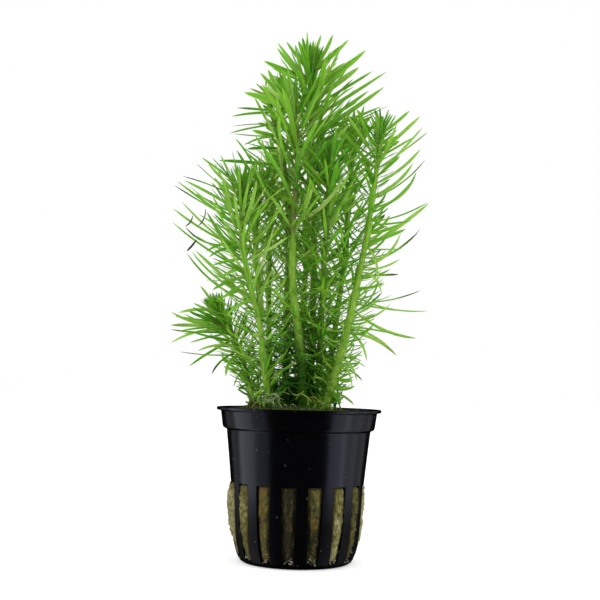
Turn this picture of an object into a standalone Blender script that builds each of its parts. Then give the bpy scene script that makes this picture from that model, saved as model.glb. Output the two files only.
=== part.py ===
"""A potted stem plant for aquariums: whorled narrow leaves on slender upright cuttings, rooted in a
rockwool plug in a slotted black basket pot.

The frame is +Z up with its origin at the middle of the pot's underside, in metres. The side that a
viewer sees first faces -Y. Ten cuttings stand in the plug, and one of them forks. Each cutting is a
stem and a leaf solid that reaches the tips of its leaves and stops half way to its neighbours.
"""

import math

import bmesh
import bpy
from mathutils import Matrix, Vector

MM = 0.001

# Clearance between pieces that touch
GAP = 0.3 * MM

# Pot
POT_HEIGHT = 50.5 * MM
LIP_RADIUS = 27.5 * MM
LIP_THICKNESS = 1.1 * MM
LIP_EDGE = 0.25 * MM
COLLAR_TOP_RADIUS = 26.1 * MM
COLLAR_FOOT_RADIUS = 25.3 * MM
COLLAR_FOOT = 43.8 * MM
STEP_RADIUS = 23.95 * MM
STEP_FOOT = 42.9 * MM
WALL = 1.1 * MM
BASE_THICKNESS = 1.2 * MM
FOOT_RADIUS = 17.6 * MM
FLOOR_RADIUS = 17.4 * MM
STEP_DROP_INSIDE = 0.3 * MM
POT_FACETS = 48
MERGE_DISTANCE = 0.01 * MM

# The outer wall below the step, as (radius, height) from the slots' level down round the corner
LOWER_WALL = (
    (22.2 * MM, 26.8 * MM),
    (21.6 * MM, 13.0 * MM),
    (20.5 * MM, 5.6 * MM),
    (19.1 * MM, 0.9 * MM),
)

# Slots, the first of them a little left of the front
SLOT_COUNT = 16
SLOT_TOP = 26.0 * MM
SLOT_FOOT = 1.6 * MM
SLOT_HALF_ANGLE = math.radians(5.9)
SLOT_PITCH = 2 * math.pi / SLOT_COUNT
FIRST_SLOT_ANGLE = math.radians(-97.1)
WEDGE_INNER_RADIUS = 15.2 * MM
WEDGE_OUTER_RADIUS = 30.0 * MM

# Rockwool plug: it swells out through the slots and has a mossy rise on its top
PLUG_TOP = 50.0 * MM
PLUG_EDGE_DROP = 0.5 * MM
PLUG_SWELL = 0.5 * MM
PLUG_FOOT_RADIUS = 16.2 * MM
PLUG_CORNER_INSET = 0.5 * MM
PLUG_COLLAR_RISE = 0.6 * MM
PLUG_EASE = 0.1 * MM
SWELL_SHOULDER = 1.5 * MM
RIB_GAP = 1.1 * GAP
INNER_RING_SHARE = 0.6
MOUND_HEIGHT = 2.2 * MM
MOUND_CENTRE = (-12.0 * MM, -4.0 * MM)
MOUND_SPREAD = 9.0 * MM
PLANTING_HOLE_LENGTH = 20.0 * MM
HOLE_FACETS = 8

# Leaf solids, lofted through levels that they all share
FIRST_LEVEL = 54.0 * MM
LEVEL_STEP = 10.0 * MM
NEIGHBOUR_REACH = 1.1 * LEVEL_STEP
RAYS = 10
NEIGHBOUR_GAP = 1.0 * MM
LEAST_WALL = 0.5 * MM
STEM_CLEARANCE = 0.35 * MM

# The least distance in millimetres from a stem's ends, and from a leaf solid's top, to a shared level
STEM_END_ROOM = 2
LEAF_TOP_ROOM = 3

# Outline of a leaf solid, as (share of its height, share of its reach)
LEAF_OUTLINE = ((0.0, 0.6), (0.15, 0.9), (0.3, 1.0), (0.8, 1.0), (0.92, 0.8), (1.0, 0.3))

# Each cutting's stem route in millimetres, its radius at the foot and at the tip, the reach of its
# leaves, and the heights between which it has them
CUTTINGS = {
    "centre": {
        "route": ((1.6, -3.8, 44), (-0.2, -5.0, 70), (-3.0, -7.0, 90), (-3.5, -9.0, 110),
                  (-2.8, -9.0, 130), (-3.4, -9.0, 146), (-5.4, -9.0, 154)),
        "radii": (1.35, 0.65), "reach": 21.0, "leaves": (54, 164),
    },
    "tall": {
        "route": ((3.4, 8.4, 44), (3.9, 8.0, 77), (3.9, 7.4, 101), (2.6, 6.5, 133),
                  (0.9, 4.0, 168)),
        "radii": (1.1, 0.8), "reach": 22.0, "leaves": (54, 179),
    },
    "left_centre": {
        "route": ((-4.5, 3.4, 44), (-5.0, 3.0, 77), (-5.0, 2.0, 100), (-5.6, 0.5, 122),
                  (-8.8, -1.6, 140), (-13.8, -2.6, 157)),
        "radii": (1.0, 0.75), "reach": 21.0, "leaves": (54, 169),
    },
    "left": {
        "route": ((-9.0, -7.0, 44), (-11.6, -8.0, 62), (-13.8, -10.0, 79), (-17.0, -11.6, 90),
                  (-20.2, -12.8, 106), (-21.4, -13.4, 123)),
        "radii": (0.95, 0.6), "reach": 23.0, "leaves": (84, 135),
    },
    "right": {
        "route": ((6.6, -2.4, 44), (11.2, -4.0, 61), (15.1, -4.6, 76), (19.6, -5.0, 99),
                  (22.9, -5.0, 121), (25.5, -5.0, 146)),
        "radii": (1.45, 0.65), "reach": 21.0, "leaves": (54, 160),
    },
    "low_left": {
        "route": ((-14.4, 3.8, 44), (-18.0, 2.0, 61), (-22.8, 0.2, 74), (-29.2, -2.0, 84)),
        "radii": (0.95, 0.7), "reach": 17.0, "leaves": (54, 94),
    },
    "front_right": {
        "route": ((5.6, 1.6, 44), (6.6, 0.4, 72), (7.0, -4.6, 94), (7.7, -11.0, 114),
                  (8.2, -15.6, 134)),
        "radii": (0.95, 0.7), "reach": 19.0, "leaves": (54, 144),
    },
    "back_right": {
        "route": ((7.8, 12.6, 44), (11.2, 12.8, 72), (14.8, 14.0, 106), (17.1, 14.0, 147)),
        "radii": (0.95, 0.7), "reach": 20.0, "leaves": (54, 157),
    },
    "back_left": {
        "route": ((-8.6, 11.0, 44), (-10.8, 13.0, 70), (-11.8, 14.6, 104), (-10.7, 14.0, 139)),
        "radii": (0.95, 0.7), "reach": 20.0, "leaves": (54, 150),
    },
    "back": {
        "route": ((-0.6, 15.0, 44), (0.6, 17.0, 77), (1.5, 19.0, 119)),
        "radii": (0.9, 0.7), "reach": 18.0, "leaves": (54, 130),
    },
}

# The side branch at the left cutting's fork
BRANCHES = {
    "left_branch": {
        "route": ((-13.0, -7.9, 80.5), (-14.2, -6.2, 90), (-15.9, -5.2, 104), (-15.0, -3.8, 126)),
        "radii": (0.9, 0.65), "reach": 16.0, "leaves": (94, 138),
    },
}

# Leaves that the left cutting has below its fork
BELOW_FORK = {
    "left_foot": {"cutting": "left", "reach": 19.0, "leaves": (54, 74)},
}

# Colours
POT_BLACK = (0.002, 0.002, 0.003, 1.0)
WOOL_OLIVE = (0.16, 0.15, 0.045, 1.0)
STEM_GREEN = (0.18, 0.37, 0.03, 1.0)
LEAF_GREEN = (0.15, 0.35, 0.02, 1.0)


def clear_scene():
    """Removes the startup objects."""
    for obj in list(bpy.data.objects):
        bpy.data.objects.remove(obj, do_unlink=True)


def new_collection(name):
    """A collection linked to the scene."""
    collection = bpy.data.collections.new(name)
    bpy.context.scene.collection.children.link(collection)
    return collection


def plain_material(name, colour, roughness):
    """A Principled material with one colour."""
    material = bpy.data.materials.new(name)
    material.use_nodes = True
    shader = material.node_tree.nodes["Principled BSDF"]
    shader.inputs["Base Color"].default_value = colour
    shader.inputs["Roughness"].default_value = roughness
    shader.inputs["Metallic"].default_value = 0.0
    material.diffuse_color = colour
    return material


def add_mesh(bm, name, collection, material=None):
    """An object made from a bmesh, which is freed."""
    mesh = bpy.data.meshes.new(name)
    bm.to_mesh(mesh)
    bm.free()
    obj = bpy.data.objects.new(name, mesh)
    collection.objects.link(obj)
    if material:
        mesh.materials.append(material)
    return obj


def cut(target, cutter, name):
    """Cuts a cutter, which isn't part of the plant, from one object."""
    cutter.hide_render = True
    cutter.display_type = "WIRE"
    modifier = target.modifiers.new(name, "BOOLEAN")
    modifier.operation = "DIFFERENCE"
    modifier.solver = "EXACT"
    modifier.object = cutter


def between(table, share):
    """The value at a share of a rising table of (share, value) pairs."""
    for (low, first), (high, last) in zip(table, table[1:]):
        if share <= high:
            return first + (last - first) * (share - low) / (high - low)
    return table[-1][1]


def wall_radius(height):
    """The pot's outer radius at a height below its step."""
    rising = [(z, radius) for radius, z in reversed(LOWER_WALL)]
    rising.append((STEP_FOOT, STEP_RADIUS))
    return between(rising, height)


# Pot


def pot_profile():
    """The pot's section: from the middle of its floor up the inner side, and down the outer side."""
    inner = [
        (0.0, BASE_THICKNESS),
        (FLOOR_RADIUS, BASE_THICKNESS),
        (LOWER_WALL[2][0] - WALL, LOWER_WALL[2][1]),
        (LOWER_WALL[1][0] - WALL, LOWER_WALL[1][1]),
        (LOWER_WALL[0][0] - WALL, LOWER_WALL[0][1]),
        (STEP_RADIUS - WALL, STEP_FOOT - STEP_DROP_INSIDE),
        (COLLAR_FOOT_RADIUS - WALL, COLLAR_FOOT),
        (COLLAR_TOP_RADIUS - WALL, POT_HEIGHT),
    ]
    lip_foot = POT_HEIGHT - LIP_THICKNESS
    outer = [
        (LIP_RADIUS - LIP_EDGE, POT_HEIGHT),
        (LIP_RADIUS, POT_HEIGHT - LIP_EDGE),
        (LIP_RADIUS, lip_foot + LIP_EDGE),
        (COLLAR_TOP_RADIUS, lip_foot),
        (COLLAR_FOOT_RADIUS, COLLAR_FOOT),
        (STEP_RADIUS, STEP_FOOT),
    ]
    return inner + outer + list(LOWER_WALL) + [(FOOT_RADIUS, 0.0), (0.0, 0.0)]


def build_pot(parts, cutters, material):
    """The moulded pot: a turned shell with upright slots cut through its lower wall."""
    bm = bmesh.new()
    section = [bm.verts.new((radius, 0.0, z)) for radius, z in pot_profile()]
    for first, second in zip(section, section[1:]):
        bm.edges.new((first, second))
    pot = add_mesh(bm, "pot", parts, material)
    turned = pot.modifiers.new("turned", "SCREW")
    turned.axis = "Z"
    turned.steps = POT_FACETS
    turned.render_steps = POT_FACETS
    turned.use_merge_vertices = True
    turned.merge_threshold = MERGE_DISTANCE
    turned.use_smooth_shade = True
    cut(pot, slot_wedges(cutters), "slots")


def slot_wedges(cutters):
    """One wedge for each slot, standing across the wall."""
    bm = bmesh.new()
    for index in range(SLOT_COUNT):
        angle = FIRST_SLOT_ANGLE + index * SLOT_PITCH
        for vertex in bmesh.ops.create_cube(bm, size=1.0)["verts"]:
            radius = WEDGE_OUTER_RADIUS if vertex.co.x > 0 else WEDGE_INNER_RADIUS
            turn = angle + math.copysign(SLOT_HALF_ANGLE, vertex.co.y)
            height = SLOT_TOP if vertex.co.z > 0 else SLOT_FOOT
            vertex.co = Vector((radius * math.cos(turn), radius * math.sin(turn), height))
    return add_mesh(bm, "slot_wedges", cutters)


# Rockwool plug


def rise(x, y):
    """How far the wool rises above the plug's top."""
    away = (x - MOUND_CENTRE[0]) ** 2 + (y - MOUND_CENTRE[1]) ** 2
    return MOUND_HEIGHT * math.exp(-away / MOUND_SPREAD ** 2)


def plug_sections():
    """The plug's sections from its foot up, as (height, radius, radius in the slots)."""
    inset = WALL + GAP
    sections = [(BASE_THICKNESS + GAP, PLUG_FOOT_RADIUS, 0.0)]
    low = SLOT_FOOT + 2 * GAP
    sections.append((low, wall_radius(low) - inset - PLUG_CORNER_INSET, 0.0))
    for height in (LOWER_WALL[2][1], LOWER_WALL[1][1], SLOT_TOP - GAP - SWELL_SHOULDER):
        radius = wall_radius(height)
        sections.append((height, radius - inset, radius + PLUG_SWELL))
    roof = SLOT_TOP - GAP
    sections.append((roof, wall_radius(roof) - inset, 0.0))
    sections.append((STEP_FOOT - PLUG_EASE, STEP_RADIUS - inset - PLUG_EASE, 0.0))
    sections.append((COLLAR_FOOT + PLUG_COLLAR_RISE, COLLAR_FOOT_RADIUS - inset, 0.0))
    sections.append((PLUG_TOP - PLUG_EDGE_DROP, COLLAR_TOP_RADIUS - inset - PLUG_EASE, 0.0))
    return sections


def plug_ring(bm, height, radius, slot_radius):
    """One ring of the plug, which stands out in each slot clear of the ribs."""
    outer = slot_radius or radius
    half = SLOT_HALF_ANGLE - RIB_GAP / radius
    ring = []
    for index in range(SLOT_COUNT):
        angle = FIRST_SLOT_ANGLE + index * SLOT_PITCH
        for turn, reach in ((-half, radius), (-half, outer), (half, outer), (half, radius)):
            x = reach * math.cos(angle + turn)
            y = reach * math.sin(angle + turn)
            ring.append(bm.verts.new((x, y, height)))
    return ring


def close_plug_top(bm, ring):
    """Closes the top over one inner ring and a middle point, raised at the mound."""
    inner = []
    for index in range(SLOT_COUNT):
        edge = ring[4 * index].co
        x, y = edge.x * INNER_RING_SHARE, edge.y * INNER_RING_SHARE
        inner.append(bm.verts.new((x, y, PLUG_TOP + rise(x, y))))
    middle = bm.verts.new((0.0, 0.0, PLUG_TOP + rise(0.0, 0.0)))
    for index in range(SLOT_COUNT):
        after = (index + 1) % SLOT_COUNT
        for step in range(4):
            start = 4 * index + step
            bm.faces.new((inner[index], ring[start], ring[(start + 1) % len(ring)]))
        bm.faces.new((inner[index], ring[(4 * index + 4) % len(ring)], inner[after]))
        bm.faces.new((middle, inner[index], inner[after]))


def build_plug(parts, cutters, material):
    """The plug, lofted through its sections, with a hole for each stem that stands in it."""
    bm = bmesh.new()
    rings = [plug_ring(bm, *section) for section in plug_sections()]
    count = len(rings[0])
    for low, high in zip(rings, rings[1:]):
        for index in range(count):
            after = (index + 1) % count
            bm.faces.new((low[index], low[after], high[after], high[index]))
    bm.faces.new(rings[0])
    close_plug_top(bm, rings[-1])
    bmesh.ops.remove_doubles(bm, verts=bm.verts, dist=MERGE_DISTANCE)
    bmesh.ops.recalc_face_normals(bm, faces=bm.faces)
    plug = add_mesh(bm, "rockwool_plug", parts, material)
    cut(plug, planting_holes(cutters), "planting holes")


def planting_holes(cutters):
    """A straight hole round the foot of each cutting, wider than the stem by the gap."""
    bm = bmesh.new()
    for cutting in CUTTINGS.values():
        foot, second = stem_points(cutting)[:2]
        along = (second - foot).normalized()
        radius = (cutting["radii"][0] * MM + GAP) / math.cos(math.pi / HOLE_FACETS)
        turn = along.to_track_quat("Z", "Y").to_matrix().to_4x4()
        middle = foot + along * (PLANTING_HOLE_LENGTH / 2 - GAP)
        bmesh.ops.create_cone(
            bm, cap_ends=True, segments=HOLE_FACETS, radius1=radius, radius2=radius,
            depth=PLANTING_HOLE_LENGTH, matrix=Matrix.Translation(middle) @ turn,
        )
    return add_mesh(bm, "planting_holes", cutters)


# Stems


def route_point(route, height):
    """The point of a rising route at a height, on a smooth curve through the route's points."""
    rows = [Vector(row) * MM for row in route]
    slopes = []
    for index in range(len(rows)):
        before = rows[max(index - 1, 0)]
        after = rows[min(index + 1, len(rows) - 1)]
        slopes.append((after - before) / (after.z - before.z))
    if height <= rows[0].z:
        return rows[0] + slopes[0] * (height - rows[0].z)
    for low, high, leaving, arriving in zip(rows, rows[1:], slopes, slopes[1:]):
        if height <= high.z:
            span = high.z - low.z
            t = (height - low.z) / span
            point = (2 * t ** 3 - 3 * t ** 2 + 1) * low + (3 * t ** 2 - 2 * t ** 3) * high
            point += (t ** 3 - 2 * t ** 2 + t) * span * leaving + (t ** 3 - t ** 2) * span * arriving
            point.z = height
            return point
    return rows[-1] + slopes[-1] * (height - rows[-1].z)


def lean(route, height):
    """How much longer a stem is than its rise at a height."""
    rise_step = route_point(route, height + MM) - route_point(route, height - MM)
    return rise_step.length / rise_step.z


def shared_levels(low, high):
    """The shared levels from one height to another, in millimetres."""
    first = math.ceil((low * MM - FIRST_LEVEL) / LEVEL_STEP - 1e-6)
    last = math.floor((high * MM - FIRST_LEVEL) / LEVEL_STEP + 1e-6)
    return [FIRST_LEVEL + LEVEL_STEP * index for index in range(first, last + 1)]


def stem_points(cutting):
    """The stem's points: its foot, one at each shared level, and its tip."""
    route = cutting["route"]
    foot, tip = route[0][2], route[-1][2]
    heights = [foot * MM] + shared_levels(foot + STEM_END_ROOM, tip - STEM_END_ROOM) + [tip * MM]
    return [route_point(route, height) for height in heights]


def stem_radius(cutting, height):
    """The stem's radius at a height."""
    foot, tip = cutting["route"][0][2] * MM, cutting["route"][-1][2] * MM
    share = min(max((height - foot) / (tip - foot), 0.0), 1.0)
    first, last = cutting["radii"]
    return (first + (last - first) * share) * MM


def build_stem(name, cutting, parts, material):
    """A stem as a tapering tube with closed ends."""
    points = stem_points(cutting)
    thickest = cutting["radii"][0] * MM
    curve = bpy.data.curves.new(name, "CURVE")
    curve.dimensions = "3D"
    curve.bevel_depth = thickest
    curve.bevel_resolution = 2
    curve.use_fill_caps = True
    curve.materials.append(material)
    spline = curve.splines.new("POLY")
    spline.points.add(len(points) - 1)
    for point, place in zip(spline.points, points):
        point.co = (*place, 1.0)
        point.radius = stem_radius(cutting, place.z) / thickest
    parts.objects.link(bpy.data.objects.new(name, curve))


# Leaf solids


def leaf_bodies():
    """Every leaf solid, as its cutting, its reach and the levels that it is lofted through."""
    stems = {**CUTTINGS, **BRANCHES}
    rows = [(name, row, row["reach"], *row["leaves"]) for name, row in stems.items()]
    for name, row in BELOW_FORK.items():
        rows.append((name, CUTTINGS[row["cutting"]], row["reach"], *row["leaves"]))
    return {
        name: {
            "cutting": cutting,
            "reach": reach * MM,
            "levels": shared_levels(lowest, highest - LEAF_TOP_ROOM) + [highest * MM],
        }
        for name, cutting, reach, lowest, highest in rows
    }


def ray_length(name, bodies, level, direction):
    """How far a leaf solid reaches along a ray: to its leaf tips, or half way to a neighbour."""
    body = bodies[name]
    levels = body["levels"]
    centre = route_point(body["cutting"]["route"], level)
    share = (level - levels[0]) / (levels[-1] - levels[0])
    length = body["reach"] * between(LEAF_OUTLINE, share)
    for other in bodies.values():
        lowest = other["levels"][0] - NEIGHBOUR_REACH
        highest = other["levels"][-1] + NEIGHBOUR_REACH
        if other["cutting"] is body["cutting"] or not lowest < level < highest:
            continue
        away = route_point(other["cutting"]["route"], level) - centre
        along = away.dot(direction)
        if along > 0:
            length = min(length, (away.length - NEIGHBOUR_GAP) / 2 * away.length / along)
    return length


def leaf_section(bm, name, bodies, level):
    """The outer ring and the ring round the stem of a leaf solid at one level."""
    cutting = bodies[name]["cutting"]
    centre = route_point(cutting["route"], level)
    room = stem_radius(cutting, level) * lean(cutting["route"], level) + STEM_CLEARANCE
    hole = room / math.cos(math.pi / RAYS)
    outer, inner = [], []
    for index in range(RAYS):
        turn = 2 * math.pi * index / RAYS
        direction = Vector((math.cos(turn), math.sin(turn), 0.0))
        length = max(ray_length(name, bodies, level, direction), hole + LEAST_WALL)
        outer.append(bm.verts.new(centre + direction * length))
        inner.append(bm.verts.new(centre + direction * hole))
    return outer, inner


def bridge(bm, first, second):
    """Faces between two rings."""
    for index in range(RAYS):
        after = (index + 1) % RAYS
        bm.faces.new((first[index], first[after], second[after], second[index]))


def build_leaves(name, bodies, parts, material):
    """One leaf solid, lofted from level to level, with a blind hole up the middle for its stem."""
    body = bodies[name]
    tip = body["cutting"]["route"][-1][2] * MM
    bm = bmesh.new()
    sections = [leaf_section(bm, name, bodies, level) for level in body["levels"]]
    outer = [section[0] for section in sections]
    hole = [section[1] for section in sections]
    roof = next((i for i, level in enumerate(body["levels"]) if level > tip + GAP), None)
    for low, high in zip(outer, outer[1:]):
        bridge(bm, low, high)
    for low, high in zip(hole[:roof], hole[1:roof]):
        bridge(bm, low, high)
    bridge(bm, outer[0], hole[0])
    if roof is None:
        bridge(bm, outer[-1], hole[-1])
    else:
        close_hole(bm, hole[roof - 1], body, tip)
        bm.faces.new(outer[-1])
        for ring in hole[roof:]:
            bmesh.ops.delete(bm, geom=ring, context="VERTS")
    bmesh.ops.recalc_face_normals(bm, faces=bm.faces)
    add_mesh(bm, "leaves_" + name, parts, material).data.shade_smooth()


def close_hole(bm, ring, body, tip):
    """Takes the hole from its last shared level to just past the stem's tip, and closes it."""
    top = route_point(body["cutting"]["route"], tip + 2 * GAP)
    below = route_point(body["cutting"]["route"], ring[0].co.z)
    last = [bm.verts.new(top + (vertex.co - below)) for vertex in ring]
    bridge(bm, ring, last)
    bm.faces.new(last)


def main():
    """Builds the pot, the plug, the stems and the leaf solids."""
    clear_scene()
    parts = new_collection("potted_plant")
    cutters = new_collection("cutters")
    build_pot(parts, cutters, plain_material("black_plastic", POT_BLACK, 0.22))
    build_plug(parts, cutters, plain_material("rockwool", WOOL_OLIVE, 0.95))
    for name, cutting in {**CUTTINGS, **BRANCHES}.items():
        build_stem("stem_" + name, cutting, parts, plain_material("stem_" + name, STEM_GREEN, 0.45))
    bodies = leaf_bodies()
    for name in bodies:
        build_leaves(name, bodies, parts, plain_material("leaves_" + name, LEAF_GREEN, 0.5))


main()
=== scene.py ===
"""The looks of a potted stem plant for aquariums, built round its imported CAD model.

Whorls of narrow leaves grow on slender upright cuttings that are rooted in a rockwool plug, and the
plug stands in a slotted basket pot of glossy black plastic. Everything is in metres in the CAD's own
frame: +Z up, origin in the middle of the pot's underside, and the side that is seen first faces -Y.
"""

import math
import random
from dataclasses import dataclass

import bmesh
import bpy
import numpy as np
from mathutils import Matrix, Vector, noise


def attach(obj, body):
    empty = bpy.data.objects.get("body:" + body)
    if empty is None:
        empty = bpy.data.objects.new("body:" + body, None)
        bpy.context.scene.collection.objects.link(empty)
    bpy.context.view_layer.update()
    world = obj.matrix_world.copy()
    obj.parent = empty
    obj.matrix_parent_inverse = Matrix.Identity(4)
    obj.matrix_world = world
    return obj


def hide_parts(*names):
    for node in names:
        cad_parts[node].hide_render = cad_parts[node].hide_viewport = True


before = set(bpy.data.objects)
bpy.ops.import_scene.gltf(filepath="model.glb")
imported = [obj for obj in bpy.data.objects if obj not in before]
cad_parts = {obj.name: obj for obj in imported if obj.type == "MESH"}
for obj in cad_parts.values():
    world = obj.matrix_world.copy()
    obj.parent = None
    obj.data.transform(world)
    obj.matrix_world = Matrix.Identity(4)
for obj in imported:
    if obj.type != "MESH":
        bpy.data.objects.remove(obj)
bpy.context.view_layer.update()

bl_info = {
    "name": "Potted Stem Plant",
    "version": (1, 0, 0),
    "blender": (4, 5, 0),
    "location": "3D View > Sidebar > Stem Plant",
    "description": "Builds a potted aquarium stem plant round its packed frame",
    "category": "Object",
}

MM = 0.001
UP = np.array((0.0, 0.0, 1.0))

# Pot, as in the CAD: its outer wall is (radius, height) in millimetres from the step to the base
POT_HEIGHT = 50.5 * MM
LIP_RADIUS = 27.5 * MM
LIP_THICKNESS = 1.1 * MM
COLLAR_TOP_RADIUS = 26.1 * MM
COLLAR_FOOT_RADIUS = 25.3 * MM
COLLAR_FOOT = 43.8 * MM
STEP_RADIUS = 23.95 * MM
STEP_FOOT = 42.9 * MM
WALL = 1.1 * MM
BASE_THICKNESS = 1.2 * MM
BASE_RADIUS = 16.9 * MM
FLOOR_RADIUS = 17.0 * MM
WALL_FOOT_RADIUS = 17.5 * MM
OUTER_WALL = (
    (23.95, 42.9), (23.1, 35.2), (22.5, 29.4), (22.15, 26.0), (21.95, 21.5), (21.72, 17.0),
    (21.45, 12.8), (21.1, 9.0), (20.65, 6.2), (20.2, 4.3), (19.75, 2.9), (19.2, 1.6), (18.5, 0.6),
    (17.6, 0.05),
)

# How the moulding's corners are eased: small steps out and in, and the heights of its two bands
FLARE, TUCK = 0.15 * MM, 0.1 * MM
COLLAR_BAND, STEP_BAND, INNER_STEP = 0.9 * MM, 0.35 * MM, 0.4 * MM
SHARP_EDGE = math.radians(35)

# The columns of a turned mesh over a slot and over a rib
POT_COLUMNS = 6, 6
WOOL_COLUMNS = 14, 6

# Slots, the first of them a little left of the front
SLOT_COUNT = 16
SLOT_TOP = 26.0 * MM
SLOT_FOOT = 1.6 * MM
SLOT_PITCH = math.tau / SLOT_COUNT
FIRST_SLOT = math.radians(-97.1)
SLOT_HALF_ANGLE = math.radians(5.9)
SLOT_HALF_ANGLE_AT_FOOT = math.radians(4.7)
SLOT_WIDE_FROM = 18.0 * MM

# Wool: its section, with the top's edge as (inset, height), how it is felted, and where it swells
WOOL_GAP = 0.25 * MM
WOOL_TOP = 50.0 * MM
WOOL_CLEARANCE = 0.2 * MM
WOOL_FOOT_RADIUS = 15.5 * MM
WOOL_UPPER_ROWS = (34.0 * MM, 42.0 * MM)
WOOL_TOP_EDGE = ((0.6 * MM, 45.5 * MM), (0.2 * MM, WOOL_TOP - 0.9 * MM))
WOOL_TOP_RINGS = 30
WOOL_TOP_SKIN = 0.5 * MM
WOOL_ROW = 0.35 * MM
WOOL_EDGE = 0.3 * MM
WOOL_SHOULDER = 1.0 * MM
WOOL_OPENING = (SLOT_FOOT + 0.3 * MM, SLOT_FOOT + 2.2 * MM), (SLOT_TOP + 0.2 * MM, SLOT_TOP - 0.7 * MM)
WOOL_SET_BACK = 0.25 * MM
FELT_SIZE, FELT_HEIGHT, TOP_FELT = 1.2 * MM, 0.3 * MM, 1.5
LUMP_SIZE, LUMP_HEIGHT, TOP_SINK = 3.0 * MM, 0.4 * MM, 0.1 * MM
BELLY_FOOT = 6.0 * MM
BELLY_TOP = SLOT_TOP + 0.5 * MM

# How far the wool swells in each slot, as a share, from the first slot on round to the right
SLOT_SWELLS = (0.4, 0.9, 1.0, 0.7, 1.0, 0.9, 0.6, 1.1, 0.8, 1.2, 0.7, 1.0, 1.5, 2.8, 1.2, 0.7)

# How light the wool is in each slot, how much darker it gets towards the foot, and how stained it is
SLOT_TONES = (0.08, 0.36, 0.7, 0.5, 1.5, 0.7, 0.5, 0.4, 0.6, 0.3, 0.5, 0.7, 0.6, 1.1, 0.68, 0.36)
SLOT_FADES = (0.35, 0.3, -0.35, 0.1, 0.0, 0.3, 0.4, 0.3, 0.3, 0.2, 0.4, 0.3, 0.3, 0.0, 0.05, 0.0)
SLOT_STAINS = (0.0, 0.4, 0.4, 0.25, 0.0, 0.3, 0.6, 0.2, 0.5, 0.4, 0.2, 0.6, 0.5, 0.3, 0.0, 0.5)
FADE_FOOT = 8.0 * MM
TOP_TONE, TOP_STAIN = 0.15, 0.3

# Mounds on the wool's top, as (x, y, height, spread) in millimetres
MOUNDS = ((-12.5, -5.0, 3.2, 5.5), (3.0, 1.0, 1.3, 10.0))

# Loose fibres: between which heights they stand, how deep they root and how thick they are
FIBRE_HEIGHTS = (SLOT_FOOT + 1.5 * MM, SLOT_TOP - 0.6 * MM)
FIBRE_ROOT = 0.15 * MM
FIBRE_THICKNESS = (0.045 * MM, 0.08 * MM)

# Stems
STEM_SIDES = 12
STEM_STEP = 0.45 * MM
STEM_RIDGES = 0.05
NODE_LENGTH = 0.55 * MM
TIP_LENGTH = 1.6 * MM
TIP_BLUNTNESS = 0.02 * MM
FIRST_WHORL = 0.4 * MM
BLUSH_FADE = 4.0 * MM
BLUSH, NODE_BLUSH = 0.7, 0.2
# Painted shade on the stems grows from nothing at the first height to full at the second, towards the wool
SHADE_TOP, SHADE_FOOT = 84.0 * MM, 60.0 * MM


@dataclass
class Cutting:
    """One cutting, with lengths in millimetres.

    It has its stem's route and (height, radius) pairs, how long and how wide its leaves are, how full
    its whorls are, how light its green is, which is partly painted light that lifts the leaves of the
    inner cuttings, how many degrees its crown opens further than usual, the share of the leaves that
    is missing in front of its stem and up to which height, and the height of its lowest whorl. Its stem
    is darkened by painted shade: at least by its shade all over, where leaves hide it, and towards the
    wool by a share of the usual. It may have a pink-brown tinge between two heights.
    """

    route: tuple
    radii: tuple
    leaf: tuple
    full: float = 1.0
    # A cutting's light is partly painted light, which lifts the leaves of the inner cuttings
    light: float = 0.0
    opening: float = 8.0
    bare: tuple = (0.0, 0.0)
    lowest: float = 52.5
    shade: float = 0.0
    foot_shade: float = 1.0
    blushed: tuple = ()


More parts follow.
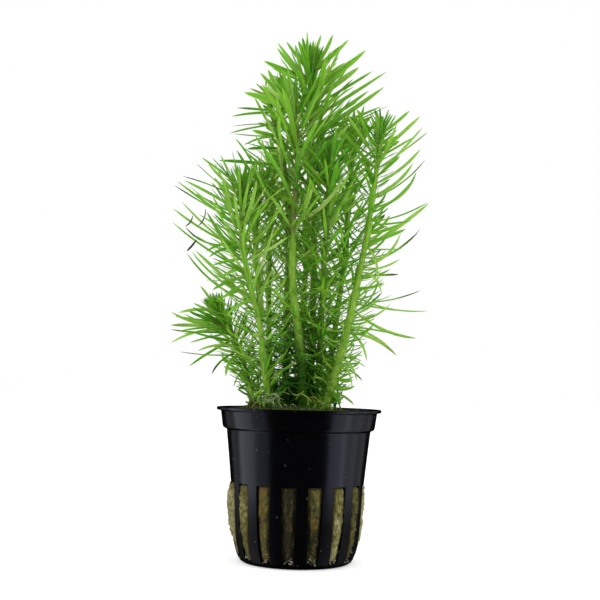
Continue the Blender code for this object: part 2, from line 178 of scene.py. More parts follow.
CUTTINGS = {
    "centre": Cutting(
        route=((1.6, -3.8, 44), (-0.2, -5.0, 70), (-3.0, -7.0, 90), (-3.5, -9.0, 110), (-2.8, -9.0, 130),
               (-3.4, -9.0, 146), (-5.4, -9.0, 154)),
        radii=((44, 1.35), (94, 1.2), (101, 1.35), (107, 0.78), (154, 0.6)), leaf=(22, 1.4),
        full=0.85, light=0.04, opening=6, bare=(0.6, 106), blushed=(109, 150),
    ),
    "tall": Cutting(
        route=((3.4, 8.4, 44), (3.9, 8.0, 77), (3.9, 7.4, 101), (2.6, 6.5, 133), (0.9, 4.0, 168)),
        radii=((44, 1.2), (168, 0.8)), leaf=(23, 1.65),
        full=0.9, light=0.02, opening=0, shade=0.4,
    ),
    "left_centre": Cutting(
        route=((-4.5, 3.4, 44), (-5.0, 3.0, 77), (-5.0, 2.0, 100), (-5.6, 0.5, 122), (-8.8, -1.6, 140),
               (-13.8, -2.6, 157)),
        radii=((44, 1.1), (157, 0.75)), leaf=(20, 1.15),
        full=0.68, light=0.28, opening=20, bare=(0.3, 120), shade=0.45,
    ),
    "left": Cutting(
        route=((-9.0, -7.0, 44), (-11.6, -8.0, 62), (-13.8, -10.0, 79), (-17.0, -11.6, 90),
               (-20.2, -12.8, 106), (-20.3, -13.4, 123)),
        radii=((44, 0.95), (79, 0.9), (123, 0.6)), leaf=(21, 0.92),
        full=1.22, light=0.06, opening=6, bare=(0.5, 84), foot_shade=0.1,
    ),
    "right": Cutting(
        route=((6.6, -2.4, 44), (11.2, -4.0, 61), (15.1, -4.6, 76), (19.6, -5.0, 99), (22.9, -5.0, 121),
               (25.5, -5.0, 146)),
        radii=((44, 1.45), (76, 1.3), (88, 1.05), (110, 0.85), (149, 0.65)), leaf=(19, 1.15),
        full=0.92, light=0.02, opening=20, bare=(0.5, 118), foot_shade=0.1,
    ),
    "low_left": Cutting(
        route=((-14.4, 3.8, 44), (-18.0, 2.0, 61), (-22.8, 0.2, 74), (-29.2, -2.0, 84)),
        radii=((44, 1.0), (84, 0.7)), leaf=(17, 0.95),
        full=1.15, light=0.05, opening=14, bare=(0.3, 80), foot_shade=0.4,
    ),
    "front_right": Cutting(
        route=((5.6, 1.6, 44), (6.6, 0.4, 72), (7.0, -4.6, 94), (7.7, -11.0, 114), (8.2, -15.6, 134)),
        radii=((44, 1.0), (134, 0.7)), leaf=(18, 1.3), light=-0.1, shade=0.5,
    ),
    "back_right": Cutting(
        route=((7.8, 12.6, 44), (11.2, 12.8, 72), (14.8, 14.0, 106), (17.1, 14.0, 147)),
        radii=((44, 1.0), (147, 0.7)), leaf=(21, 1.15), light=0.04, opening=10, shade=0.5,
    ),
    "back_left": Cutting(
        route=((-8.6, 11.0, 44), (-10.8, 13.0, 70), (-11.8, 14.6, 104), (-10.7, 14.0, 139)),
        radii=((44, 1.0), (139, 0.7)), leaf=(20, 1.1), full=0.7, light=0.35, shade=0.5,
    ),
    "back": Cutting(
        route=((-0.6, 15.0, 44), (0.6, 17.0, 77), (1.5, 19.0, 119)),
        radii=((44, 0.95), (119, 0.7)), leaf=(19, 1.1), full=0.6, shade=0.5,
    ),
    "left_branch": Cutting(
        route=((-13.0, -7.9, 80.5), (-14.2, -6.2, 90), (-15.9, -5.2, 104), (-15.0, -3.8, 126)),
        radii=((80, 0.9), (126, 0.65)), leaf=(17, 1.05),
        light=0.1, opening=6, bare=(0.2, 110), lowest=86,
    ),
}

# The left cutting forks, and its leaves below this height are a piece of their own
FORK_HEIGHT = 79.0 * MM

# Leaves that stand out of the thick of the plant: the height of the foot on the stem and the tip's
# (x, y, z) in millimetres, how far the leaf curls up in degrees, its width, its roll in degrees, its
# brightness, which is up to 1 and below 0 where it is painted shade in a crown's dark heart, and
# how withered its end is, if it is
KEY_LEAVES = {
    "tall": (
        (168, -0.5, 2, 180, 4, 1.61, 80, 0.55), (168, -2, 6, 179, 3, 1.23, 60, 0.2),
        (168, -3, -1, 173.5, 8, 1.23, 70, 0.45), (168, 3, 7, 178.5, -4, 1.14, 70, 0.7),
        (168, 4.5, 1, 178.5, 4, 1.42, 75, 0.6), (166, 8.5, 2, 179, 12, 1.33, 70, 0.55),
        (166, -7.5, 0, 175.5, 5, 1.52, 70, 0.5), (166, 11.5, -4, 173.5, 4, 1.42, 60, 0.5),
        (165, 14, -1, 176.5, 5, 1.8, 75, 0.6), (164, -15, 0, 168.5, 6, 1.71, 60, 0.55),
        (162, -10.5, -2, 174.5, 5, 2.18, 80, 0.6), (162, -12, -6, 164.5, 4, 1.42, 60, 0.4),
        (161, -10.5, -4, 172, 6, 2.09, 75, 0.5), (160, 17.5, -3, 170.5, 3, 1.52, 60, 0.5),
        (159, 20, 1, 173.5, 4, 1.8, 70, 0.6), (159, 10, -7, 166.5, -18, 1.61, 80, 0.95),
        (156, 17.5, -4, 166, 2, 1.9, 75, 0.75), (154, 22.5, 2, 166.5, 3, 1.23, 50, 0.4),
        (150, 27.5, 2, 166.5, 2, 1.9, 70, 0.6), (147, 17, -8, 153, 0, 1.33, 60, 0.4),
        (146, 21, -4, 158, 2, 1.71, 65, 0.5), (144, 26.5, 0, 160.5, 3, 2.18, 75, 0.65),
        (143, 28.5, 8, 156, 3, 1.14, 45, 0.4, 0.3), (145, 25.5, -3, 153, 4, 1.7, 70, 0.5),
        (141, 22.5, -6, 149, 5, 1.7, 70, 0.55), (140, 13, -9, 151, 4, 1.6, 80, 0.45),
        (138, 26, -2, 148, 5, 1.5, 65, 0.45), (136, 21, -7, 145, 5, 1.5, 70, 0.5),
        (137, 9, -11, 148, 4, 1.5, 80, 0.55), (132, 14, -8, 143, 6, 1.5, 75, 0.4),
        (121, 8, -8, 133.5, 4, 1.52, 85, 0.8),
    ),
    "centre": (
        (151, -15.5, -14, 160.5, 5, 1.39, 60, 0.5), (151, -9.5, -16, 160.5, 4, 1.31, 70, 0.6),
        (151, -19, -13, 155.5, 2, 0.98, 50, 0.8, 0.4), (150, -13, -15, 161.5, 12, 1.72, 75, 0.6),
        (150, -20.5, -17, 153, -3, 1.97, 75, 0.55), (150, -14, -18, 155.5, 3, 1.23, 60, 0.85),
        (148, -23, -14, 148.5, -4, 1.48, 50, 0.3, 0.4), (140, -11.5, -20, 147.5, 4, 1.23, 65, 0.5),
        (112, 12.5, -19, 126, 28, 1.39, 75, 0.9), (107, 3, -17, 123.5, 9, 1.48, 85, 0.85),
    ),
    "left_centre": (
        (150, -25, -8, 147, -6, 1.27, 40, 0.5), (146, -24.5, -9, 143.5, -6, 1.27, 40, 0.5),
        (146, -25.5, -7, 141.5, -5, 1.19, 40, 0.55), (142, -17.5, -17, 140.5, 2, 1.61, 70, 0.6),
        (142, -20.5, -8, 137.5, -14, 0.94, 45, 0.9), (142, -24, -9, 141, 4, 1.1, 45, 0.8, 0.3),
        (140, -17.5, -10, 153.5, 2, 1.36, 75, 0.9), (138, -19.5, -11, 135.5, -5, 1.27, 55, 0.2),
        (132, -29, -6, 132.5, -3, 1.27, 45, 0.3), (108, -16, -11, 124.5, -10, 1.78, 80, 0.8),
    ),
    "left_branch": (
        (126, -23.5, -9, 139.5, -14, 1.08, 65, 0.5), (126, -14.5, -8, 135, 5, 1.01, 70, 0.6),
        (125, -23, -7, 136, 3, 0.94, 60, 0.3),
    ),
    "left": (
        # The first leaf, with a tone below 0, is painted shade in the crown's dark heart
        (119, -19.4, -22, 122.5, 0, 1.2, 88, -0.35), (113, -35, -19, 119, 6, 0.75, 55, 0.45),
        (107, -34, -18, 112.5, 10, 0.7, 50, 0.5), (100, -34.5, -17, 105.5, 14, 0.7, 50, 0.5),
        (122, -24, -15, 134, 3, 0.8, 50, 0.5), (122, -23, -18, 129, 3, 0.86, 80, 0.4),
        (122, -21, -18, 128, 0, 0.86, 80, 0.35), (122, -19.5, -16, 130, -3, 0.93, 75, 0.45),
        (122, -34, -16, 131.5, -2, 0.93, 50, 0.6), (122, -30, -21, 130.5, 4, 0.86, 50, 0.4),
        (120, -27, -22, 131, 6, 1.05, 80, 0.65), (119, -31.5, -19, 129, 4, 0.95, 65, 0.75),
        (118, -36, -11, 130.5, 6, 0.73, 35, 0.5, 0.6), (118, -40.5, -11, 126, -8, 0.8, 40, 0.6, 1),
        (114, -39, -17, 123.5, -4, 1.0, 65, 0.5), (111, -37, -22, 121, 8, 0.8, 45, 0.6),
        (111, -30, -26, 116, 5, 0.86, 55, 0.4), (110, -43.5, -8, 123.5, 2, 0.7, 35, 0.5, 1),
        (109, -42, -13, 124, 1, 1.0, 70, 0.55), (104, -31, -21, 100, -18, 0.94, 55, 0.35),
        (105, -38.6, -14.2, 109, 42, 0.75, 50, 0.4, 1), (102, -43, -13, 115, 9, 0.95, 50, 0.6),
        (102, -30, -22, 98, -24, 1.17, 60, 0.25), (101, -31, -23, 109, 4, 1.01, 55, 0.35),
        (100, -40, -15, 117, 8, 1.01, 45, 0.55), (97, -31.5, -17, 113.5, 8, 1.2, 75, 0.3),
        (95, -29, -22, 98, 3, 1.01, 60, 0.3), (95, -43.5, -10, 111, 9, 0.94, 50, 0.6),
        (99, -29, -18, 96, -6, 1.1, 60, 0.4), (96, -26, -20, 92, -12, 1.0, 65, 0.5),
        (93, -29, -17, 88, -14, 1.1, 60, 0.35), (91, -32, -9, 92, 0, 0.7, 40, 0.8),
        (91, -25, -19, 86, -10, 1.1, 70, 0.3), (89, -28, -14, 84.5, -16, 1.0, 60, 0.45),
        (87, -26, -12, 92, 12, 1.1, 65, 0.3), (86, -24, -18, 80, -14, 1.0, 65, 0.5),
        (89, -9.5, -18, 109, 6, 0.94, 80, 0.95), (86, -36, -17, 100.5, 17, 0.86, 50, 0.5),
        (84, -38, -14, 100.5, 20, 0.94, 50, 0.55, 0.4), (84, -35, -16, 101, 1, 1.15, 70, 0.7),
        (73, -16.5, -18, 70.5, -50, 1.25, 80, 1),
    ),
    "low_left": (
        (79, -42, -5, 80, 6, 0.9, 55, 0.5), (77, -40, -8, 75, -6, 0.85, 55, 0.4),
        (75, -37.5, 2, 71.5, -6, 0.8, 50, 0.45), (74, -33, -8, 78.5, 6, 0.9, 60, 0.4),
        (82, -34, -4, 90.5, -4, 0.97, 60, 0.6), (82, -30.5, -5, 87, 2, 1.06, 80, 0.4),
        (82, -28, -5, 87, -4, 1.06, 75, 0.5), (82, -40.5, -8, 81, -14, 1.23, 60, 0.85),
        (81, -36, -6, 84.5, 3, 0.88, 60, 0.6), (78, -36, -9, 83, 3, 1.14, 60, 0.25),
        (78, -37, -12, 81.5, 6, 1.14, 60, 0.1), (78, -43.5, -4, 81.5, 20, 1.06, 60, 0.7),
        (77, -40, 5, 81.5, 13, 0.79, 45, 0.3), (77, -43.5, -5, 77, -3, 1.32, 60, 0.9, 0.5),
        (76, -44.5, 4, 76, 9, 0.88, 45, 0.7, 0.8), (76, -43.5, -3, 71, -20, 1.23, 50, 0.8),
        (74, -39, -7, 74, -14, 0.88, 45, 0.3), (73, -37, -3, 63.5, -6, 1.14, 55, 0.3),
        (72, -36.5, -9, 75, 4, 1.06, 50, 0.2), (70, -34, -7, 68.5, -22, 1.14, 55, 0.9),
        (69, -29.5, -2, 61, -26, 0.97, 50, 0.4, 1), (68, -41, 3, 68.5, 8, 0.88, 45, 0.4, 1),
        (67, -24.5, -5, 60.5, -55, 1.14, 60, 0.6), (64, -22, -2, 57, -12, 0.97, 60, 0.6),
        (58, -20.5, -3, 56, -12, 1.06, 60, 0.5),
    ),
    "right": (
        (143, 34.5, -8, 150.5, 5, 1.31, 65, 0.63), (144, 27.5, -8, 149.5, -3, 0.85, 60, 0.35),
        (141, 21.5, -10, 147.5, 3, 0.85, 60, 0.4), (138, 19, -12, 143.5, 4, 0.85, 60, 0.4),
        (136, 38, -9, 148.5, 2, 1.48, 70, 0.83), (135, 35, -14, 140, 3, 1.23, 60, 0.68),
        (135, 20, -14, 141, 3, 0.85, 60, 0.4), (131, 41.5, -1, 145, 3, 0.9, 45, 0.78, 0.6),
        (128, 39, -8, 145, 2, 0.98, 50, 0.68), (126, 38.5, -7, 138, 16, 1.07, 50, 0.68),
        (122, 35.5, -12, 132, 22, 1.07, 55, 0.68), (121, 40.5, -4, 135, 16, 0.9, 50, 0.63, 0.7),
        (118, 37, -8, 130, 36, 0.98, 60, 0.63, 0.3), (116, 35.5, -11, 126.5, 18, 1.23, 65, 0.58),
        (114, 26.5, -14, 114.5, 22, 0.98, 60, 0.58, 1), (113, 42, -1, 121, 13, 0.82, 45, 0.53),
        (112, 35.5, -11, 113, 4, 1.07, 55, 0.53), (109, 32, -15, 111.5, 8, 1.07, 60, 0.53),
        (106, 33.5, -13, 110, 6, 1.31, 65, 0.48), (105, 24.5, -11, 92, -42, 0.9, 60, 0.98),
        (104, 41.5, -8, 119.5, 5, 1.56, 65, 0.68), (104, 32.5, -12, 103.5, 3, 0.74, 40, 0.58),
        (101, 39.5, -1, 112, 28, 0.7, 45, 0.58, 1), (101, 26.5, -14, 100, 2, 0.7, 45, 1),
        (99, 37, -7, 109, 20, 0.82, 50, 0.48, 0.9), (98, 32, -10, 109, 34, 0.9, 65, 0.83),
        (97, 32, -9, 100.5, 20, 0.82, 55, 0.88), (96, 26, -12, 88.5, -42, 0.82, 60, 0.98),
        (95, 32, -8, 95.5, 1, 1.07, 50, 0.68, 1), (94, 29, -10, 97, 14, 1.0, 60, 0.5),
        (91, 27, -12, 92, 12, 1.0, 60, 0.6), (88, 42.5, -3, 84, 17, 0.9, 50, 0.68),
        (87, 26, -10, 90, 16, 1.0, 60, 0.5), (86, 40, -1, 91, 13, 0.7, 40, 0.58, 1),
        (86, 29.5, -11, 88.5, 18, 0.74, 50, 0.73), (86, 42, 0, 84, 8, 0.74, 45, 0.58),
        (84, 38, -9, 74.5, 20, 1.07, 55, 0.78, 0.4), (80, 29, -11, 85.5, 27, 0.9, 60, 0.98),
        (78, 29.5, -13, 70.5, -14, 1.07, 60, 0.98), (78, 35, -12, 74.5, -5, 0.9, 50, 0.58),
        (76, 31.5, -10, 68.5, -22, 1.15, 60, 0.93, 0.5), (76, 21.5, -13, 66.5, -38, 0.85, 60, 0.7),
        (68, 20.5, -12, 68.5, 6, 0.7, 50, 0.68), (68, 21.5, -10, 64.5, -14, 0.7, 50, 0.78),
        (67, 18.5, -12, 60, -40, 0.85, 60, 0.8), (66, 17, -13, 57, -46, 1.0, 65, 0.75),
        (64, 20.5, -8, 60, -30, 0.7, 50, 0.68, 0.6), (58, 18, -10, 58.5, 26, 0.9, 60, 0.58),
        (56, 13.5, -11, 52.5, -20, 1.31, 60, 0.28), (56, 18, -9, 52, -24, 0.82, 60, 0.78),
    ),
    "front_right": (
        (128, 10, -16, 143.5, 4, 1.19, 70, 0.5), (110, 20, -13, 122.5, 6, 0.92, 70, 0.85),
        (110, 16, -14, 126, 9, 1.19, 75, 0.75),
    ),
}

# The thick of the plant, as (height, left, right) in millimetres
THICK = (
    (50, -17, 13), (57, -20, 16), (63, -26, 19), (68, -28, 21), (73, -33, 22), (79, -36, 24),
    (84, -35, 26), (90, -31, 27), (100, -30, 27), (111, -30, 28), (122, -31, 29), (128, -31, 29),
    (133, -30, 31), (136, -22, 32), (139, -20, 32), (144, -15, 31), (150, -13, 29), (155, -15, 24),
    (161, -13, 22), (166, -12, 16), (172, -9, 12), (178, -1, 5),
)

# How leaves change down a stem, as (millimetres below the tip, value)
LENGTH_SHARES = ((0, 0.3), (4, 0.55), (9, 0.86), (15, 1.0), (60, 1.0), (120, 0.85))
RISE_DEGREES = ((0, 80), (4, 66), (9, 54), (15, 44), (25, 35), (40, 27), (70, 16), (100, 6))
WIDTH_SHARES = ((0, 0.5), (4, 0.85), (9, 1.0), (20, 0.95), (32, 0.8), (45, 0.66), (70, 0.55), (100, 0.5))
LIFTS = ((0, 0.0), (12, 0.05), (25, 0.25), (50, 0.45), (80, 0.4), (110, 0.1))
WHORL_SPACING = ((0, 1.2), (6, 2.2), (14, 3.2), (30, 4.0), (100, 3.8))
WHORL_LEAVES = ((0, 5), (4, 7), (40, 7), (100, 8))
# Leaves are darkest at the tip, where the tone paints the shade of a crown's heart
TONES = ((0, 0.16), (4, 0.34), (12, 0.46), (60, 0.48), (100, 0.40))
LOOSENESS = ((0, 0.0), (20, 0.12), (50, 0.4), (80, 0.85), (110, 1.0))

# How the foot of the plant differs, as (height in millimetres, value)
FOOT_LENGTHS = ((53, 0.38), (62, 0.5), (76, 0.75), (92, 1.0))
FOOT_SPACING = ((53, 0.5), (70, 0.65), (90, 1.0))
FOOT_LEAVES = ((53, 3), (72, 2), (88, 0))

# How much the leaves of a stem differ, as the spread at its tip and what looseness adds to it
SPREADS = {
    "azimuth": (0.12, 0.15), "rise": (6, 11), "bend": (0.08, 0.35), "lift": (0.12, 0.3),
    "sway": (0.12, 0.6), "roll": (0.4, 0.3), "twist": (0.3, 0.5),
}
WHORL_TURN_SPREAD = 0.15
LENGTH_SPREAD, WIDTH_SPREAD, TONE_SPREAD = 0.12, 0.15, 0.14
LOOSE_BEND = 0.12
WITHERED_SHARE = 0.03

# A leaf is in front of its stem below this depth in millimetres, if it points forwards this far
CROWN_DEPTH = 20
FRONT = -0.72

# Between these depths in millimetres an opened crown closes again
OPENED = 10, 45

# Where in a stem a leaf starts, as a share of its radius, and how narrow, dark and low a leaf may be
LEAF_SEAT = 0.6
NARROWEST_LEAF = 0.7 * MM
DARKEST_TONE = 0.16
LOWEST_LEAF = POT_HEIGHT + 0.6 * MM
LOWEST_BASAL_LEAF = POT_HEIGHT - 0.4 * MM

# How leaves that stray are bent up and cut short, round by round
KEEPING_ROUNDS = 10
LIFT_STEP = 0.35
SHORTENING = 0.88
SHORTEST_LEAF = 5 * MM

# Painted shade in the hollow at the foot of the middle stems, as (height in millimetres, how dark it is)
HOLLOW = ((53, 1.0), (64, 0.88), (74, 0.45), (84, 0.0))
HOLLOW_MIDDLE = -2.5 * MM
HOLLOW_REACH = 6.5 * MM

# Moss grows from the wool's left edge, where it is short, to an uneven edge on the right
MOSS_BLADES = 3000
MOSS_LEFT, MOSS_RIGHT, MOSS_EDGE = -16.5 * MM, 9.0 * MM, 3 * MM
MOSS_INSET = 1.3 * MM
SHORT_MOSS = 0.35

# Short leaves between the stems and the thicket behind them, whose dark tones are painted shade, with
# the (low, high) of their rise, of their length and width in millimetres and of their tone, and the
# (mean, spread) of their bend
BASAL_LEAVES = 300
BASAL_LEFT, BASAL_RIGHT = -14.5, 7.5
BASAL = {
    "rise": (0.2, 1.4), "length": (3.0, 7.5), "width": (0.5, 0.9), "bend": (-0.3, 0.6), "tone": (0.4, 0.85),
}
THICKET_LEAVES = 260
THICKET = {
    "rise": (0.7, 1.5), "length": (5.0, 13.0), "width": (0.6, 1.1), "bend": (-0.2, 0.5),
    "tone": (-0.2, 0.1),
}
ROOTS = 24

# Grains lie at the foot of the slots that are seen, over this share of a slot's width
GRAIN_SLOTS = (13, 14, 15, 0, 1, 2, 3)
GRAINS_PER_SLOT = 14
GRAIN_SPREAD = 0.8

# Seeds of the random draws
FIBRE_SEED, MOSS_SEED, COVER_SEED = 7, 11, 12

# Yellowed leaf bits and withered scraps, each from (x, y, z) to (x, y, z) in millimetres with the
# degrees that it curls up and its width
DEAD_LEAVES = (
    (-2.3, -9.5, 55.4, 1.4, -10.5, 56.6, 50, 0.5), (-0.3, -11, 55.6, 4.2, -13, 52.4, -25, 0.42),
    (0.4, -10, 55.3, -1.2, -12.5, 53.4, -20, 0.45), (2.8, -8, 53.6, 5.8, -12, 53.9, -30, 0.5),
    (4.6, -9, 52.2, 7.6, -12.5, 52.6, -35, 0.6), (5, -10, 54.2, 7.6, -11, 51.6, -20, 0.45),
    (7.6, -8, 51.4, 9.8, -11.5, 52.2, -30, 0.5), (-9.5, -10, 52.4, -13, -13, 51.6, -15, 0.4),
)
LITTER_THICKNESS = 0.2 * MM
SCRAPS = (
    (-32.1, -15.0, 114.6, -34.2, -15.5, 109.0, 30, 0.5),
    (-36.3, -14.0, 112.5, -38.6, -14.2, 109.0, 35, 0.5),
    (-35.0, -11.0, 105.0, -38.1, -11.5, 101.1, 8, 0.75),
)

# Tall soft lights beside the plant, as (x, y, width, share of the power)
SIDE_LIGHTS = {
    "left_light": (-0.57, 0.04, 0.38, 0.95),
    "left_front_light": (-0.512, -0.284, 0.284, 0.4),
    "left_back_light": (-0.64, 0.47, 0.48, 0.15),
    "right_light": (0.57, 0.04, 0.38, 0.5),
    "right_front_light": (0.53, -0.24, 0.34, 0.75),
    "right_back_light": (0.64, 0.47, 0.48, 0.2),
}
LIGHT_HEIGHT = 1.5
LIGHT_MIDDLE = -0.1
LIGHT_AIM = 0.2
STAGE_RADIUS = 3.0
STAGE_DROP = 0.05 * MM
WHITE = (1.0, 1.0, 1.0, 1.0)
REFLECTED_ROOM = 0.005

# The camera's place, and how it is tipped back from looking down and rolled
CAMERA_PLACE = (-0.6 * MM, -376.0 * MM, 59.7 * MM)
CAMERA_TIP = math.radians(94.12)
CAMERA_ROLL = math.radians(1.4)


# Settings


def colour_property(name, description, default):
    """A colour that a user can change."""
    return bpy.props.FloatVectorProperty(
        name=name, description=description, default=default, subtype="COLOR", min=0.0, max=1.0,
    )


def length_property(name, description, default):
    """A length that a user can change, in metres."""
    return bpy.props.FloatProperty(
        name=name, description=description, default=default, min=0.0, unit="LENGTH", precision=5,
    )


def share_property(name, description, default):
    """A share from 0 to 1 that a user can change."""
    return bpy.props.FloatProperty(
        name=name, description=description, default=default, min=0.0, max=1.0, subtype="FACTOR",
    )


class PotSettings(bpy.types.PropertyGroup):
    """The basket pot."""

    plastic: colour_property("Plastic", "Colour of the moulded plastic", (0.0012, 0.0012, 0.0016))
    roughness: share_property("Roughness", "How much the plastic spreads a reflection", 0.17)
    edge_radius: length_property("Edge radius", "Rounding of the moulding's edges", 0.22 * MM)


class WoolSettings(bpy.types.PropertyGroup):
    """The rockwool plug."""

    damp: colour_property("Damp", "Colour of the darkest wool", (0.014, 0.0135, 0.002))
    olive: colour_property("Olive", "Colour of the wool where algae tint it", (0.158, 0.148, 0.030))
    brown: colour_property("Brown", "Colour of the wool's stained patches", (0.120, 0.074, 0.012))
    pale: colour_property("Pale", "Colour of the clean wool", (0.31, 0.29, 0.15))
    swell: length_property("Swell", "How far the wool stands out of a slot", 0.7 * MM)
    fibre_length: length_property("Fibre length", "Length of the loose fibres", 1.1 * MM)
    fibres: bpy.props.IntProperty(
        name="Fibres", description="Number of loose fibres in the slots", default=2400, min=0,
    )


class CoverSettings(bpy.types.PropertyGroup):
    """What lies and grows on the plug."""

    moss: colour_property("Moss", "Colour of the moss on the wool", (0.10, 0.155, 0.016))
    root: colour_property("Root", "Colour of the fine roots", (0.38, 0.48, 0.24))
    dead: colour_property("Dead leaf", "Colour of the yellowed leaf bits", (0.20, 0.28, 0.026))
    grain: colour_property("Grain", "Colour of the pale grains in the slots", (0.22, 0.205, 0.16))


class StemSettings(bpy.types.PropertyGroup):
    """The stems."""

    green: colour_property("Green", "Colour of the stems", (0.175, 0.375, 0.024))
    blush: colour_property("Blush", "Pink-brown tinge of the young stem", (0.24, 0.22, 0.08))
    # The colour of the stems' painted shade, towards the wool and where leaves hide a stem
    foot: colour_property("Foot", "Dark green of a stem near the wool", (0.024, 0.095, 0.002))
    node_swelling: share_property("Node swelling", "Extra thickness of a stem at a whorl", 0.22)


class LeafSettings(bpy.types.PropertyGroup):
    """The leaves."""

    # The colour that painted shade takes leaves down to, in the hollow, a crown's heart and the thicket
    deep: colour_property("Deep green", "Colour of the leaves in the hollow", (0.014, 0.080, 0.002))
    dark: colour_property("Dark green", "Colour of the darker leaves", (0.064, 0.240, 0.006))
    green: colour_property("Green", "Colour of most leaves", (0.158, 0.362, 0.018))
    lime: colour_property("Lime", "Colour of the brightest leaves", (0.345, 0.485, 0.115))
    withered: colour_property("Withered", "Colour of a withered leaf's end", (0.055, 0.045, 0.020))
    thickness: length_property("Thickness", "Thickness of a leaf at its midrib", 0.2 * MM)


class StageSettings(bpy.types.PropertyGroup):
    """Floor, lights and camera."""

    floor: colour_property("Floor", "Colour of the floor", (0.93, 0.93, 0.93))
    surroundings: share_property("Surroundings", "Brightness of the room's light", 1.0)
    side_light: bpy.props.FloatProperty(
        name="Side lights", description="Power of a square metre of a tall light", default=5.3, min=0.0,
        subtype="POWER",
    )
    lens: bpy.props.FloatProperty(
        name="Lens", description="Focal length in millimetres", default=67.1, min=1.0,
        subtype="DISTANCE_CAMERA",
    )


# Materials

# The colour of the faint pale specks on the plastic
PALE_SPECK = (0.06, 0.06, 0.065)
# Painted shade: the dark colour in the gaps between the wool's felted fibres
FELT_GAP_SHADE = (0.02, 0.017, 0.006)
STEM_RIB, STEM_PATCH = (0.32, 0.50, 0.08), (0.10, 0.24, 0.015)
MIDRIB, LEAF_FOOT = (0.30, 0.50, 0.13), (0.27, 0.44, 0.10)


class Value:
    """A socket of a node. Arithmetic on it adds Math nodes."""

    def __init__(self, nodes, socket):
        self.nodes = nodes
        self.socket = socket

    def _maths(self, operation, *values):
        return self.nodes.add("ShaderNodeMath", {"operation": operation}, dict(enumerate(values)))

    def __add__(self, other):
        return self._maths("ADD", self, other)

    def __sub__(self, other):
        return self._maths("SUBTRACT", self, other)

    def __rsub__(self, other):
        return self._maths("SUBTRACT", other, self)

    def __mul__(self, other):
        return self._maths("MULTIPLY", self, other)

    __radd__ = __add__
    __rmul__ = __mul__


class Nodes:
    """Adds the nodes of one material or world."""

    def __init__(self, owner):
        owner.use_nodes = True
        self.owner = owner
        self.tree = owner.node_tree
        self.tree.nodes.clear()

    def add(self, kind, settings=None, sockets=None, output=0):
        """Adds a node: its settings first, then the values or links of its sockets."""
        node = self.tree.nodes.new(kind)
        for name, value in (settings or {}).items():
            if name == "stops":
                set_stops(node.color_ramp, value)
            else:
                setattr(node, name, value)
        for name, value in (sockets or {}).items():
            if isinstance(value, Value):
                self.tree.links.new(value.socket, node.inputs[name])
            else:
                node.inputs[name].default_value = value
        return Value(self, node.outputs[output]) if node.outputs else None

    def place(self, stretch=(1.0, 1.0, 1.0)):
        """The place on the object, stretched along its axes."""
        place = self.add("ShaderNodeTexCoord", output="Object")
        return self.add("ShaderNodeVectorMath", {"operation": "MULTIPLY"}, {0: place, 1: stretch})

    def height(self):
        """The height above the pot's underside."""
        return self.add("ShaderNodeSeparateXYZ", None, {0: self.place()}, output="Z")

    def clouds(self, size, detail=2.0, stretch=(1.0, 1.0, 1.0), roughness=0.5):
        """Cloudy noise with features of about a size in metres."""
        return self.add("ShaderNodeTexNoise", None, {
            "Vector": self.place(stretch), "Scale": 1.0 / size, "Detail": detail, "Roughness": roughness,
        })

    def spots(self, size, stretch=(1.0, 1.0, 1.0)):
        """The distance from the nearest of scattered points about a size apart, in that size."""
        sockets = {"Vector": self.place(stretch), "Scale": 1.0 / size}
        return self.add("ShaderNodeTexVoronoi", None, sockets)

    def ease(self, value, start, end):
        """A smooth step from 0 to 1 as a value goes from start to end."""
        sockets = {"Value": value, "From Min": start, "From Max": end}
        return self.add("ShaderNodeMapRange", {"interpolation_type": "SMOOTHSTEP"}, sockets)

    def mix(self, first, second, share):
        """One colour mixed into another."""
        sockets = {0: share, 6: opaque(first), 7: opaque(second)}
        return self.add("ShaderNodeMix", {"data_type": "RGBA"}, sockets, output=2)

    def ramp(self, value, stops):
        """A colour ramp over a value."""
        return self.add("ShaderNodeValToRGB", {"stops": stops}, {0: value})

    def attribute(self, name):
        """A number that the mesh holds at each of its points."""
        return self.add("ShaderNodeAttribute", {"attribute_name": name}, output="Fac")

    def bump(self, height, distance):
        """A bumpy normal from a height between 0 and 1."""
        return self.add("ShaderNodeBump", None, {"Height": height, "Distance": distance, "Strength": 1.0})

    def principled(self, sockets):
        """A Principled shader."""
        return self.add("ShaderNodeBsdfPrincipled", None, sockets)

    def finish(self, shader):
        """Ends the material in a shader and gives it back."""
        self.add("ShaderNodeOutputMaterial", None, {"Surface": shader})
        return self.owner


def opaque(colour):
    """A colour with its alpha; a link stays as it is."""
    return colour if isinstance(colour, Value) else (*colour[:3], 1.0)


def set_stops(ramp, stops):
    """Gives a colour ramp its stops, as (place, colour)."""
    while len(ramp.elements) < len(stops):
        ramp.elements.new(1.0)
    for element, (place, colour) in zip(ramp.elements, stops):
        element.position = place
        element.color = opaque(colour)


def new_material(name):
    """The nodes of a new material."""
    return Nodes(bpy.data.materials.new(name))


